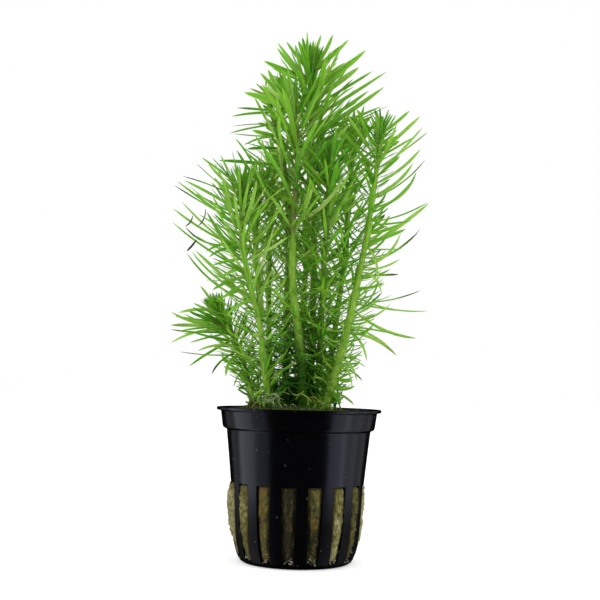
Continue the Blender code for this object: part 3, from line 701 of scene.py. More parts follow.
def plastic_material(settings):
    """Black moulded plastic: a slight orange peel, faint pale specks and a dull film on the ribs."""
    nodes = new_material("glossy_black_plastic")
    peel = nodes.clouds(3.0 * MM, detail=1.0)
    handling = nodes.clouds(9.0 * MM, detail=3.0)
    dots = nodes.spots(2.3 * MM, stretch=(1.0, 1.0, 0.75))
    patches = nodes.ease(nodes.clouds(5.0 * MM, detail=3.0), 0.50, 0.62)
    speck = nodes.ease(dots, 0.17, 0.07) * patches
    film = nodes.ease(nodes.height() + (handling - 0.5) * 8.0 * MM, SLOT_TOP + MM, 12.0 * MM) * 0.85
    sockets = {
        "Base Color": nodes.mix(settings.plastic, PALE_SPECK, speck * 0.5),
        "Roughness": settings.roughness + handling * 0.08 + speck * 0.15 + film * 0.2,
        "Normal": nodes.bump(peel * 0.12 + speck * 0.5, 0.10 * MM),
        "IOR": 1.5,
    }
    gloss = {"Specular IOR Level": 0.33, "Specular Tint": (0.70, 0.76, 1.0, 1.0)}
    shiny = nodes.principled({**sockets, **gloss})
    dull = nodes.principled({**sockets, "Specular IOR Level": 0.04})
    return nodes.finish(nodes.add("ShaderNodeMixShader", None, {0: film, 1: shiny, 2: dull}))


def wool_material(settings):
    """Damp rockwool: felted fibres with painted shade in their gaps, tinted olive by algae, with brown
    stains and pale clean patches.
    """
    nodes = new_material("rockwool_felt")
    fibres = nodes.clouds(0.5 * MM, detail=3.0, stretch=(1.0, 1.0, 0.35), roughness=0.65)
    stains = nodes.clouds(3.0 * MM, detail=4.0, stretch=(1.0, 1.0, 0.5))
    clean = nodes.clouds(4.5 * MM, detail=3.0, stretch=(1.0, 1.0, 0.4))
    mottle = nodes.clouds(1.1 * MM, detail=4.0, stretch=(1.0, 1.0, 0.6), roughness=0.6)
    share = nodes.attribute("tone") + (clean - 0.5) * 1.3 + (mottle - 0.5) * 1.9
    tinted = nodes.mix(settings.damp, settings.olive, share)
    patched = nodes.mix(tinted, settings.pale, nodes.ease(share, 0.75, 1.15) * 0.8)
    stain = nodes.ease(stains + nodes.attribute("stain") * 0.25, 0.56, 0.70) * 0.75
    stained = nodes.mix(patched, settings.brown, stain)
    return nodes.finish(nodes.principled({
        # Painted shade in the felt's gaps, where the fibres' bump is low
        "Base Color": nodes.mix(stained, FELT_GAP_SHADE, nodes.ease(fibres, 0.52, 0.34) * 0.7),
        "Roughness": 0.72 + fibres * 0.25,
        "Normal": nodes.bump(fibres, 0.35 * MM),
        "Specular IOR Level": 0.25,
    }))


def fibre_material(settings):
    """Loose rockwool fibres."""
    nodes = new_material("rockwool_fibre")
    tone = nodes.attribute("tone")
    return nodes.finish(nodes.principled({
        "Base Color": nodes.mix(settings.damp, settings.pale, tone),
        "Roughness": 0.55 + tone * 0.2,
        "Specular IOR Level": 0.3,
    }))


def stem_material(settings):
    """Juicy green stems with fine ribs, paler at the whorls and with a pink-brown tinge in places, darkened
    by painted shade towards the wool and where leaves hide them.
    """
    nodes = new_material("stem_skin")
    streaks = nodes.clouds(0.55 * MM, detail=2.0, stretch=(1.0, 1.0, 0.12))
    clouds = nodes.clouds(5.0 * MM, detail=2.0)
    green = nodes.mix(settings.green, STEM_RIB, nodes.ease(streaks, 0.42, 0.66) * 0.6)
    shaded = nodes.mix(green, STEM_PATCH, nodes.ease(clouds, 0.55, 0.75) * 0.45)
    tinged = nodes.mix(shaded, settings.blush, nodes.attribute("blush") * (0.4 + clouds))
    return nodes.finish(nodes.principled({
        # Painted shade: the shade attribute mixes the dark foot colour into the stem
        "Base Color": nodes.mix(tinged, settings.foot, nodes.attribute("shade") * (0.6 + clouds)),
        "Roughness": 0.34 + streaks * 0.2,
        "Normal": nodes.bump(streaks, 0.10 * MM),
        "Specular IOR Level": 0.15,
        "Subsurface Weight": 0.25,
        "Subsurface Radius": (0.6, 1.0, 0.25),
        "Subsurface Scale": 0.8 * MM,
    }))


def leaf_material(name, settings):
    """Thin green leaf blades with a pale midrib, a fine grain in their bump and mottled colour."""
    nodes = new_material(name)
    along, edge = nodes.attribute("along"), nodes.attribute("edge")
    mottle = nodes.clouds(2.2 * MM, detail=3.0)
    fine = nodes.clouds(0.45 * MM, detail=2.0)
    # A leaf's tone is its own lightness, less the painted shade that some leaves carry in it
    blade = nodes.ramp(
        nodes.attribute("tone") + (mottle - 0.5) * 0.35,
        ((0.0, settings.deep), (0.22, settings.dark), (0.5, settings.green), (1.0, settings.lime)),
    )
    midrib = nodes.ease(edge, 0.22, 0.05) * nodes.ease(along, 1.0, 0.7) * 0.4
    ribbed = nodes.mix(blade, MIDRIB, midrib)
    footed = nodes.mix(ribbed, LEAF_FOOT, nodes.ease(along, 0.22, 0.0) * 0.6)
    dry = nodes.attribute("age") * nodes.ease(along + (fine - 0.5) * 0.3, 0.55, 0.85)
    return nodes.finish(nodes.principled({
        "Base Color": nodes.mix(footed, settings.withered, dry),
        "Roughness": 0.36 + fine * 0.16 + dry * 0.3,
        "Normal": nodes.bump(fine * 0.5 + nodes.ease(edge, 0.0, 0.3) * 0.5, 0.05 * MM),
        "Specular IOR Level": 0.3,
        "Subsurface Weight": 0.4,
        "Subsurface Radius": (0.35, 1.0, 0.08),
        "Subsurface Scale": 0.6 * MM,
    }))


def cover_material(name, colour, dark, roughness=0.6):
    """Small growth and litter on the plug, from a dark colour that paints shade in its hollows to its own
    colour.
    """
    nodes = new_material(name)
    mottle = nodes.clouds(0.8 * MM, detail=3.0)
    return nodes.finish(nodes.principled({
        # Painted shade: the dark colour where the mottle, which also bumps the surface, is low
        "Base Color": nodes.mix(dark, colour, nodes.ease(mottle, 0.32, 0.58)),
        "Roughness": roughness + mottle * 0.2,
        "Normal": nodes.bump(mottle, 0.08 * MM),
    }))


# Shapes that several pieces use


def interpolated(table, value):
    """The value of a table of (place, value) pairs at a place."""
    places, values = zip(*table)
    return float(np.interp(value, places, values))


def clamped(share):
    """A share kept between 0 and 1."""
    return min(max(share, 0.0), 1.0)


def smooth_step(value, start, end):
    """A smooth step from 0 to 1 as a value goes from start to end."""
    share = clamped((value - start) / (end - start))
    return share * share * (3 - 2 * share)


def polar(place):
    """The radius and the angle of a place round the pot's axis."""
    return math.hypot(place.x, place.y), math.atan2(place.y, place.x)


def round_axis(radius, angle, height):
    """The place at a radius and an angle round the pot's axis."""
    return radius * math.cos(angle), radius * math.sin(angle), height


def wall_radius(height):
    """The pot's outer radius at a height below its step."""
    rising = [(z, radius) for radius, z in reversed(OUTER_WALL)]
    return interpolated(rising, height / MM) * MM


def slot_half_angle(height):
    """Half of a slot's width, as an angle, at a height."""
    share = clamped((height - SLOT_FOOT) / (SLOT_WIDE_FROM - SLOT_FOOT))
    return SLOT_HALF_ANGLE_AT_FOOT + (SLOT_HALF_ANGLE - SLOT_HALF_ANGLE_AT_FOOT) * share


def from_slot(angle):
    """The slot nearest to an angle, and how far the angle is from the slot's middle."""
    index = round((angle - FIRST_SLOT) / SLOT_PITCH)
    return index % SLOT_COUNT, angle - FIRST_SLOT - index * SLOT_PITCH


def turned_shell(section, slot_columns, rib_columns):
    """A shell turned from a section of (radius, height) rows, with columns on the slots' edges."""
    columns = slot_columns + rib_columns
    bm = bmesh.new()
    verts = [bm.verts.new((radius, 0.0, height)) for radius, height in section]
    edges = [bm.edges.new(pair) for pair in zip(verts, verts[1:])]
    bmesh.ops.spin(
        bm, geom=verts + edges, axis=(0, 0, 1), cent=(0, 0, 0), angle=math.tau,
        steps=SLOT_COUNT * columns, use_merge=True,
    )
    bmesh.ops.remove_doubles(bm, verts=bm.verts, dist=0.001 * MM)
    step = SLOT_PITCH / columns
    for vertex in bm.verts:
        radius, angle = polar(vertex.co)
        if radius < 0.01 * MM:
            continue
        pitch, place = divmod(round(angle / step) % (SLOT_COUNT * columns), columns)
        half = slot_half_angle(vertex.co.z)
        if place <= slot_columns:
            turn = -half + 2 * half * place / slot_columns
        else:
            turn = half + (SLOT_PITCH - 2 * half) * (place - slot_columns) / rib_columns
        vertex.co = round_axis(radius, FIRST_SLOT + pitch * SLOT_PITCH + turn, vertex.co.z)
    return bm


def linked(name, data):
    """A new object in the scene."""
    item = bpy.data.objects.new(name, data)
    bpy.context.scene.collection.objects.link(item)
    return item


def mesh_of(bm):
    """The smooth mesh of a bmesh, which is used up."""
    mesh = bpy.data.meshes.new("shape")
    bm.to_mesh(mesh)
    bm.free()
    mesh.shade_smooth()
    return mesh


def add_piece(name, mesh, material, slot, *replaced):
    """Makes a piece of a mesh, rides it on the pot's body and hides the CAD parts that it replaces."""
    mesh.name = name
    mesh.materials.append(material)
    piece = linked(name, mesh)
    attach(piece, "root")
    if replaced:
        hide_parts(*replaced)
    return piece


# Blades: leaves, roots, moss and fibres are all bent copies of a bar


@dataclass
class Blade:
    """One leaf, root or fibre: where it starts, how it leaves the stem and how it bends."""

    base: tuple
    azimuth: float
    rise: float
    length: float
    width: float
    thickness: float
    axes: np.ndarray = None
    bend: float = 0.0
    lift: float = 0.0
    sway: float = 0.0
    roll: float = 0.0
    twist: float = 0.0
    fold: float = 0.0
    tone: float = 0.5
    age: float = 0.0


@dataclass
class Bar:
    """The bar that a kind of blade is bent from, and how its width changes along it."""

    sides: int
    segments: int
    foot: float
    widest: float
    power: float


LEAF = Bar(sides=4, segments=9, foot=0.45, widest=0.3, power=6.5)
HAIR = Bar(sides=3, segments=3, foot=1.0, widest=0.3, power=3.0)
ROOT = Bar(sides=5, segments=12, foot=1.0, widest=0.4, power=3.0)
MOSS = Bar(sides=3, segments=4, foot=0.8, widest=0.4, power=2.0)
PROBE = Bar(sides=4, segments=8, foot=0.4, widest=0.4, power=2.0)


def upright_bar(sides, segments):
    """A closed bar of radius 1 that stands on the origin and is 1 long, with a ring at each station."""
    bm = bmesh.new()
    bmesh.ops.create_cone(
        bm, cap_ends=True, segments=sides, radius1=1.0, radius2=1.0, depth=1.0,
        matrix=Matrix.Translation((0, 0, 0.5)),
    )
    uprights = [edge for edge in bm.edges if abs(edge.verts[0].co.z - edge.verts[1].co.z) > 0.5]
    bmesh.ops.subdivide_edges(bm, edges=uprights, cuts=segments - 1, use_grid_fill=True)
    return bm


def blade_bar(bar):
    """The pointed bar of a kind of blade, with sharp margins if it is flat."""
    bm = upright_bar(bar.sides, bar.segments)
    tip = [vertex for vertex in bm.verts if vertex.co.z > 0.9999]
    bmesh.ops.pointmerge(bm, verts=tip, merge_co=(0, 0, 1))
    for edge in bm.edges:
        margin = all(abs(vertex.co.y) < 0.01 for vertex in edge.verts)
        edge.smooth = not (bar.sides == 4 and margin)
    return bm


def stations_along(share):
    """Where a bar's evenly spaced stations lie along a blade: closer together towards its tip."""
    return 1 - (1 - share) ** 1.45


def width_share(along, bar):
    """How wide a blade is along it, as a share of its full width."""
    opening = bar.foot + (1 - bar.foot) * np.sin(np.pi / 2 * np.minimum(along / bar.widest, 1.0))
    closing = np.clip((along - bar.widest) / (1 - bar.widest), 0.0, 1.0) ** bar.power
    return opening * (1 - closing)


def unit(vectors):
    """Vectors made 1 long."""
    return vectors / np.linalg.norm(vectors, axis=-1, keepdims=True)


def column(blades, name):
    """One field of every blade, ready to spread over the stations along it."""
    return np.array([getattr(blade, name) for blade in blades], dtype=float)[:, None]


def directions(blades, along):
    """The way each blade runs and the way its flat side lies, at stations along it."""
    axes = np.array([np.eye(3) if blade.axes is None else blade.axes for blade in blades])
    rise = column(blades, "rise") + column(blades, "bend") * (2 * along - 1)
    azimuth = column(blades, "azimuth") + column(blades, "sway") * along ** 2
    run = np.stack((np.cos(rise) * np.cos(azimuth), np.cos(rise) * np.sin(azimuth), np.sin(rise)), -1)
    side = np.stack((-np.sin(azimuth), np.cos(azimuth), np.zeros_like(rise)), -1)
    run, side = run @ axes, side @ axes
    run = unit(run + (column(blades, "lift") * along)[..., None] * UP)
    side = unit(side - np.sum(side * run, -1, keepdims=True) * run)
    twist = (column(blades, "roll") + column(blades, "twist") * along)[..., None]
    return run, side * np.cos(twist) + np.cross(run, side) * np.sin(twist)


def bent(blades, shape, bar):
    """The places of every blade's points, from the places on the unit bar."""
    stations = stations_along(np.arange(bar.segments + 1) / bar.segments)
    between = (stations[1:] + stations[:-1]) / 2
    steps = directions(blades, between)[0] * (column(blades, "length") * np.diff(stations))[..., None]
    base = np.array([blade.base for blade in blades])[:, None]
    centres = np.concatenate((base, base + np.cumsum(steps, axis=1)), axis=1)
    run, side = directions(blades, stations)
    normal = np.cross(run, side)
    station = np.rint(shape[:, 2] * bar.segments).astype(int)
    across, over = shape[:, 0], shape[:, 1]
    share = width_share(stations[station], bar)
    half = column(blades, "width") / 2 * share
    body = column(blades, "thickness") * np.sqrt(share) * np.where(over > 0, 0.35, 0.65) * over
    raised = body + column(blades, "fold") * half * np.abs(across)
    offset = side[:, station] * (half * across)[..., None] + normal[:, station] * raised[..., None]
    return centres[:, station] + offset


def blade_mesh(blades, bar):
    """One mesh of many blades: copies of the unit bar, each bent its own way."""
    shape = mesh_of(blade_bar(bar))
    carrier = linked("bar", shape)
    copies = carrier.modifiers.new("copies", "ARRAY")
    copies.count = len(blades)
    copies.use_relative_offset = False
    graph = bpy.context.evaluated_depsgraph_get()
    mesh = bpy.data.meshes.new_from_object(carrier.evaluated_get(graph))
    places = np.empty(len(shape.vertices) * 3)
    shape.vertices.foreach_get("co", places)
    places = places.reshape(-1, 3)
    bpy.data.objects.remove(carrier)
    bpy.data.meshes.remove(shape)
    mesh.vertices.foreach_set("co", bent(blades, places, bar).ravel())
    values = {
        "along": np.tile(stations_along(places[:, 2]), len(blades)),
        "edge": np.tile(np.abs(places[:, 0]), len(blades)),
        "tone": np.repeat(column(blades, "tone"), len(places)),
        "age": np.repeat(column(blades, "age"), len(places)),
    }
    for key, numbers in values.items():
        mesh.attributes.new(key, "FLOAT", "POINT").data.foreach_set("value", numbers)
    mesh.update()
    return mesh


def spanning_blade(foot, tip, curl, width, thickness, **rest):
    """A blade from one point to another, in metres, that curls up by some degrees at its end."""
    chord = tip - foot
    bend = math.radians(curl)
    return Blade(
        base=tuple(foot), azimuth=math.atan2(chord.y, chord.x), rise=math.asin(chord.z / chord.length),
        length=chord.length / float(np.sinc(bend / math.pi)), width=width * MM, thickness=thickness,
        bend=bend, **rest,
    )


# Pot


def pot_section():
    """The pot's section: from the middle of its floor up the inner side, and down the outer side."""
    outer = [(radius * MM, height * MM) for radius, height in OUTER_WALL]
    inner = [(0.0, BASE_THICKNESS), (FLOOR_RADIUS, BASE_THICKNESS)]
    inner += [(radius - WALL, height) for radius, height in reversed(outer) if height > BASE_THICKNESS]
    inner += [(COLLAR_FOOT_RADIUS - WALL, COLLAR_FOOT + INNER_STEP), (COLLAR_TOP_RADIUS - WALL, POT_HEIGHT)]
    lip_foot = POT_HEIGHT - LIP_THICKNESS
    rim = [
        (LIP_RADIUS, POT_HEIGHT),
        (LIP_RADIUS, lip_foot + FLARE),
        (COLLAR_TOP_RADIUS, lip_foot - TUCK),
        (COLLAR_FOOT_RADIUS + FLARE, COLLAR_FOOT + COLLAR_BAND),
        (COLLAR_FOOT_RADIUS - TUCK, COLLAR_FOOT),
        (STEP_RADIUS + TUCK, STEP_FOOT + STEP_BAND),
    ]
    return inner + rim + outer + [(BASE_RADIUS, 0.0), (0.0, 0.0)]


def in_slot(face):
    """Whether a face of the shell's wall lies in a slot."""
    middle = face.calc_center_median()
    radius, angle = polar(middle)
    if not SLOT_FOOT < middle.z < SLOT_TOP or radius < WALL_FOOT_RADIUS:
        return False
    return abs(from_slot(angle)[1]) < slot_half_angle(middle.z)


def nearest_slot(edge):
    """The slot that an edge of the wall belongs to."""
    return from_slot(polar((edge.verts[0].co + edge.verts[1].co) / 2)[1])[0]


def build_pot(settings):
    """The moulded pot: a turned shell with open slots, and rounded edges."""
    bm = turned_shell(pot_section(), *POT_COLUMNS)
    bmesh.ops.delete(bm, geom=[face for face in bm.faces if in_slot(face)], context="FACES")
    rims = [edge for edge in bm.edges if edge.is_boundary]
    for index in range(SLOT_COUNT):
        bmesh.ops.bridge_loops(bm, edges=[edge for edge in rims if nearest_slot(edge) == index])
    bmesh.ops.recalc_face_normals(bm, faces=bm.faces)
    pot = add_piece("basket_pot", mesh_of(bm), plastic_material(settings), "black_plastic", "pot")
    rounding = pot.modifiers.new("rounded edges", "BEVEL")
    rounding.width = settings.edge_radius
    rounding.segments = 2
    rounding.limit_method = "ANGLE"
    rounding.angle_limit = SHARP_EDGE
    rounding.harden_normals = True


# Rockwool


def wool_rise(x, y):
    """How far the wool rises above the plug's top."""
    rise = 0.0
    for centre_x, centre_y, height, spread in MOUNDS:
        away = (x / MM - centre_x) ** 2 + (y / MM - centre_y) ** 2
        rise += height * MM * math.exp(-away / spread ** 2)
    return rise


def on_wool(x, y):
    """The place on the wool's top over a point."""
    return x, y, WOOL_TOP - WOOL_TOP_SKIN + wool_rise(x, y)


def ribbed_radius(height):
    """The wool's radius behind the ribs at a height."""
    return wall_radius(height) - WALL - WOOL_GAP


def wool_radius(angle, height, swell):
    """The plug's radius: inside the wall behind a rib, and swelling out in a slot."""
    inside = ribbed_radius(height)
    index, away = from_slot(angle)
    room = (slot_half_angle(height) - abs(away)) * inside
    window = smooth_step(room, WOOL_EDGE, WOOL_SHOULDER)
    for closed, full in WOOL_OPENING:
        window *= smooth_step(height, closed, full)
    share = clamped((height - BELLY_FOOT) / (BELLY_TOP - BELLY_FOOT))
    belly = SLOT_SWELLS[index] * swell * math.sin(math.pi * share ** 1.3) ** 0.5
    return inside + window * (WALL + WOOL_GAP - WOOL_SET_BACK + belly)


def wool_section():
    """The plug's section before it swells: up its side and in over its top."""
    low, high = SLOT_FOOT + WOOL_CLEARANCE, SLOT_TOP
    count = round((high - low) / WOOL_ROW)
    heights = [low + (high - low) * index / count for index in range(count + 1)]
    foot = BASE_THICKNESS + WOOL_CLEARANCE
    section = [(0.0, foot), (WOOL_FOOT_RADIUS, foot)]
    section += [(ribbed_radius(height), height) for height in (*heights, *WOOL_UPPER_ROWS)]
    radius = COLLAR_TOP_RADIUS - WALL - WOOL_GAP
    section += [(radius - inset, height) for inset, height in WOOL_TOP_EDGE]
    for index in range(1, WOOL_TOP_RINGS + 1):
        section.append((radius * (1 - index / WOOL_TOP_RINGS), WOOL_TOP - WOOL_CLEARANCE))
    return section


def build_wool(settings):
    """The plug: a turned shape that swells in the slots, felted by noise."""
    bm = turned_shell(wool_section(), *WOOL_COLUMNS)
    tone, stain = (bm.verts.layers.float.new(layer) for layer in ("tone", "stain"))
    for vertex in bm.verts:
        place = vertex.co.copy()
        radius, angle = polar(place)
        felt = noise.fractal(place / FELT_SIZE, 0.6, 2.2, 4) * FELT_HEIGHT
        lumps = noise.noise(place / LUMP_SIZE) * LUMP_HEIGHT
        index = from_slot(angle)[0]
        fade = SLOT_FADES[index] * smooth_step(place.z, SLOT_TOP, FADE_FOOT)
        vertex[tone], vertex[stain] = SLOT_TONES[index] - fade, SLOT_STAINS[index]
        if place.z > WOOL_TOP - WOOL_TOP_SKIN:
            vertex.co.z += wool_rise(place.x, place.y) + felt * TOP_FELT + lumps - TOP_SINK
            vertex[tone], vertex[stain] = TOP_TONE, TOP_STAIN
        elif SLOT_FOOT < place.z < SLOT_TOP:
            new_radius = wool_radius(angle, place.z, settings.swell)
            new_radius += (felt + lumps) * clamped((new_radius - radius) / (WALL + WOOL_GAP))
            vertex.co.x *= new_radius / radius
            vertex.co.y *= new_radius / radius
    bmesh.ops.recalc_face_normals(bm, faces=bm.faces)
    add_piece("rockwool", mesh_of(bm), wool_material(settings), "rockwool", "rockwool_plug")


def build_fibres(settings):
    """Loose fibres that stand out of the wool in the slots."""
    chance = random.Random(FIBRE_SEED)
    fibres = []
    for _ in range(settings.fibres):
        index = chance.randrange(SLOT_COUNT)
        height = chance.uniform(*FIBRE_HEIGHTS)
        room = slot_half_angle(height) - WOOL_SHOULDER / wall_radius(height)
        angle = FIRST_SLOT + index * SLOT_PITCH + chance.uniform(-room, room)
        radius = wool_radius(angle, height, settings.swell) - FIBRE_ROOT
        thickness = chance.uniform(*FIBRE_THICKNESS)
        fibres.append(Blade(
            base=round_axis(radius, angle, height), azimuth=angle + chance.gauss(0, 0.9),
            rise=chance.gauss(0.1, 0.7), length=settings.fibre_length * chance.uniform(0.5, 1.2),
            width=thickness, thickness=thickness, bend=chance.gauss(0, 0.6), sway=chance.gauss(0, 1.2),
            tone=chance.uniform(0.1, 0.4) + 0.45 * SLOT_TONES[index],
        ))
    material = fibre_material(settings)
    add_piece("wool_fibres", blade_mesh(fibres, HAIR), material, "rockwool", "rockwool_plug")


# Stems


def route_point(route, height):
    """The point of a rising route at a height, on a smooth curve through the route's points."""
    rows = [Vector(row) * MM for row in route]
    around = [rows[0], *rows, rows[-1]]
    slopes = [(after - before) / (after.z - before.z) for before, after in zip(around, around[2:])]
    if height <= rows[0].z:
        return rows[0] + slopes[0] * (height - rows[0].z)
    for low, high, leaving, arriving in zip(rows, rows[1:], slopes, slopes[1:]):
        if height <= high.z:
            span = high.z - low.z
            t = (height - low.z) / span
            point = (2 * t ** 3 - 3 * t ** 2 + 1) * low + (3 * t ** 2 - 2 * t ** 3) * high
            point += (t ** 3 - 2 * t ** 2 + t) * span * leaving + (t ** 3 - t ** 2) * span * arriving
            point.z = height
            return point
    return rows[-1] + slopes[-1] * (height - rows[-1].z)


class Path:
    """A stem's middle line, measured from its tip down."""

    STEP = 0.5 * MM

    def __init__(self, cutting):
        foot, tip = cutting.route[0][2] * MM, cutting.route[-1][2] * MM
        heights = np.arange(tip, foot, -self.STEP).tolist()
        self.points = np.array([route_point(cutting.route, height) for height in heights])
        steps = np.linalg.norm(np.diff(self.points, axis=0), axis=1)
        self.below = np.concatenate(([0.0], np.cumsum(steps)))
        self.length = self.below[-1]
        self.radii = cutting.radii

    def at(self, below):
        """The point at a distance below the tip."""
        return np.array([np.interp(below, self.below, self.points[:, axis]) for axis in range(3)])

    def axes(self, below):
        """Two directions across the stem and the one along it, as rows."""
        along = unit(self.at(below - MM) - self.at(below + MM))
        across = unit(np.cross((0.0, 1.0, 0.0), along))
        return np.array((across, np.cross(along, across), along))

    def radius(self, below):
        """The stem's radius at a distance below the tip."""
        return interpolated(self.radii, self.at(below)[2] / MM) * MM


def whorl_places(path, lowest):
    """The distance below the tip of every whorl above a height in millimetres."""
    places = []
    below = FIRST_WHORL
    while below < path.length and path.at(below)[2] > lowest * MM:
        places.append(below)
        height = path.at(below)[2] / MM
        below += interpolated(WHORL_SPACING, below / MM) * interpolated(FOOT_SPACING, height) * MM
    return places


def stem_ring(cutting, path, whorls, below, swelling):
    """One ring of a stem: its middle, the axes across it, its radius, its tinge and its painted shade."""
    centre = path.at(below)
    node = math.exp(-(min(abs(below - place) for place in whorls) / NODE_LENGTH) ** 2)
    radius = path.radius(below) * (1 + swelling * node)
    radius *= math.sqrt(min((below + TIP_BLUNTNESS) / TIP_LENGTH, 1.0))
    tinge = 0.0
    if cutting.blushed:
        low, high = (height * MM for height in cutting.blushed)
        tinge = smooth_step(centre[2], low - BLUSH_FADE, low)
        tinge *= smooth_step(centre[2], high + BLUSH_FADE, high)
    # Painted shade, which grows towards the wool and is at least the cutting's shade all over
    shade = max(smooth_step(centre[2], SHADE_TOP, SHADE_FOOT) * cutting.foot_shade, cutting.shade)
    return centre, path.axes(below), radius, min(tinge * BLUSH + node * NODE_BLUSH, 1.0), shade


def build_stem(name, cutting, settings, material):
    """A stem along its route: swollen at its whorls, faintly ridged, and closed at both ends."""
    path = Path(cutting)
    whorls = whorl_places(path, cutting.lowest)
    count = round(path.length / STEM_STEP)
    rings = [
        stem_ring(cutting, path, whorls, path.length * (1 - index / count), settings.node_swelling)
        for index in range(count + 1)
    ]
    bm = upright_bar(STEM_SIDES, count)
    blush, shaded = (bm.verts.layers.float.new(layer) for layer in ("blush", "shade"))
    for vertex in bm.verts:
        centre, axes, radius, tinge, shade = rings[round(vertex.co.z * count)]
        reach = radius * (1 + STEM_RIDGES * math.cos(4 * polar(vertex.co)[1]))
        vertex.co = Vector(centre + reach * (vertex.co.x * axes[0] + vertex.co.y * axes[1]))
        vertex[blush], vertex[shaded] = tinge, shade
    add_piece(name + "_stem", mesh_of(bm), material, "stem", "stem_" + name)


# Leaves


def hollow(place):
    """How much painted shade darkens a leaf that stands low in the thick of the plant."""
    away = math.exp(-((place[0] - HOLLOW_MIDDLE) / HOLLOW_REACH) ** 2)
    return interpolated(HOLLOW, place[2] / MM) * away


def grown_leaves(cutting, settings, chance):
    """The whorls of one cutting, from its tip down."""
    path = Path(cutting)
    longest, widest = (size * MM for size in cutting.leaf)
    bare, bare_top = cutting.bare
    turn = chance.uniform(0, math.tau)
    leaves = []
    for below in whorl_places(path, cutting.lowest):
        depth = below / MM
        loose = interpolated(LOOSENESS, depth)
        spread = {key: least + more * loose for key, (least, more) in SPREADS.items()}
        axes, centre, radius = path.axes(below), path.at(below), path.radius(below)
        height = centre[2] / MM
        count = interpolated(WHORL_LEAVES, depth) + interpolated(FOOT_LEAVES, height)
        count = max(round(count * cutting.full + chance.uniform(-0.5, 0.5)), 2)
        tone = interpolated(TONES, depth) + cutting.light
        opening = cutting.opening * (1 - smooth_step(depth, *OPENED))
        turn += math.pi / count + chance.gauss(0, WHORL_TURN_SPREAD)
        for index in range(count):
            azimuth = turn + math.tau * index / count + chance.gauss(0, spread["azimuth"])
            outwards = math.cos(azimuth) * axes[0] + math.sin(azimuth) * axes[1]
            in_front = depth > CROWN_DEPTH and outwards[1] < FRONT and height < bare_top
            if in_front and chance.random() < bare:
                continue
            rise = interpolated(RISE_DEGREES, depth) - opening + chance.gauss(0, spread["rise"])
            length = longest * interpolated(LENGTH_SHARES, depth) * interpolated(FOOT_LENGTHS, height)
            width = widest * interpolated(WIDTH_SHARES, depth) * chance.gauss(1.0, WIDTH_SPREAD)
            leaves.append(Blade(
                base=tuple(centre + outwards * radius * LEAF_SEAT), axes=axes, azimuth=azimuth,
                rise=math.radians(rise), length=length * chance.gauss(1.0, LENGTH_SPREAD),
                width=max(width, NARROWEST_LEAF), thickness=settings.thickness * chance.uniform(0.8, 1.2),
                bend=chance.gauss(LOOSE_BEND * loose, spread["bend"]),
                lift=interpolated(LIFTS, depth) + chance.gauss(0, spread["lift"]),
                sway=chance.gauss(0, spread["sway"]), roll=chance.gauss(0, spread["roll"]),
                twist=chance.gauss(0, spread["twist"]), fold=chance.uniform(0.1, 0.35),
                tone=max(tone + chance.gauss(0, TONE_SPREAD), DARKEST_TONE) - hollow(centre),
                age=chance.uniform(0.5, 1.0) if chance.random() < WITHERED_SHARE * loose else 0.0,
            ))
    return leaves


def kept_in(leaves, lowest):
    """Bends up the leaves that hang below a height and shortens those that leave the thick."""
    heights, lefts, rights = np.array(THICK).T * MM
    for _ in range(KEEPING_ROUNDS):
        ends = bent(leaves, np.array(((0.0, 0.0, 0.5), (0.0, 0.0, 1.0))), PROBE)
        low = np.min(ends[..., 2], axis=1) < lowest
        x, z = ends[:, 1, 0], ends[:, 1, 2]
        out = (x < np.interp(z, heights, lefts)) | (x > np.interp(z, heights, rights))
        out |= z > heights[-1]
        for leaf, hangs, leaves_thick in zip(leaves, low, out):
            if hangs:
                leaf.lift += LIFT_STEP
            if leaves_thick and leaf.length > SHORTEST_LEAF:
                leaf.length *= SHORTENING
    return leaves


def key_leaf(cutting, settings, chance, height, x, y, z, curl, width, roll, tone, age=0.0):
    """A leaf from a height on its stem to a tip."""
    foot = route_point(cutting.route, height * MM)
    return spanning_blade(
        foot, Vector((x, y, z)) * MM, curl, width, settings.thickness,
        roll=math.radians(roll) * chance.choice((-1, 1)), twist=chance.gauss(0, 0.25),
        fold=chance.uniform(0.05, 0.25), tone=tone, age=age,
    )


def build_leaves(settings):
    """The leaves of every cutting, one piece for each of the CAD's leaf solids."""
    material = leaf_material("leaf_blade", settings)
    for name, cutting in CUTTINGS.items():
        chance = random.Random("leaves of " + name)
        leaves = kept_in(grown_leaves(cutting, settings, chance), LOWEST_LEAF)
        leaves += [key_leaf(cutting, settings, chance, *row) for row in KEY_LEAVES.get(name, ())]
        groups = {name: leaves}
        if name == "left":
            groups = {
                "left": [leaf for leaf in leaves if leaf.base[2] >= FORK_HEIGHT],
                "left_foot": [leaf for leaf in leaves if leaf.base[2] < FORK_HEIGHT],
            }
        for group, members in groups.items():
            mesh = blade_mesh(members, LEAF)
            add_piece(group + "_leaves", mesh, material, "leaf", "leaves_" + group)


# Ground cover


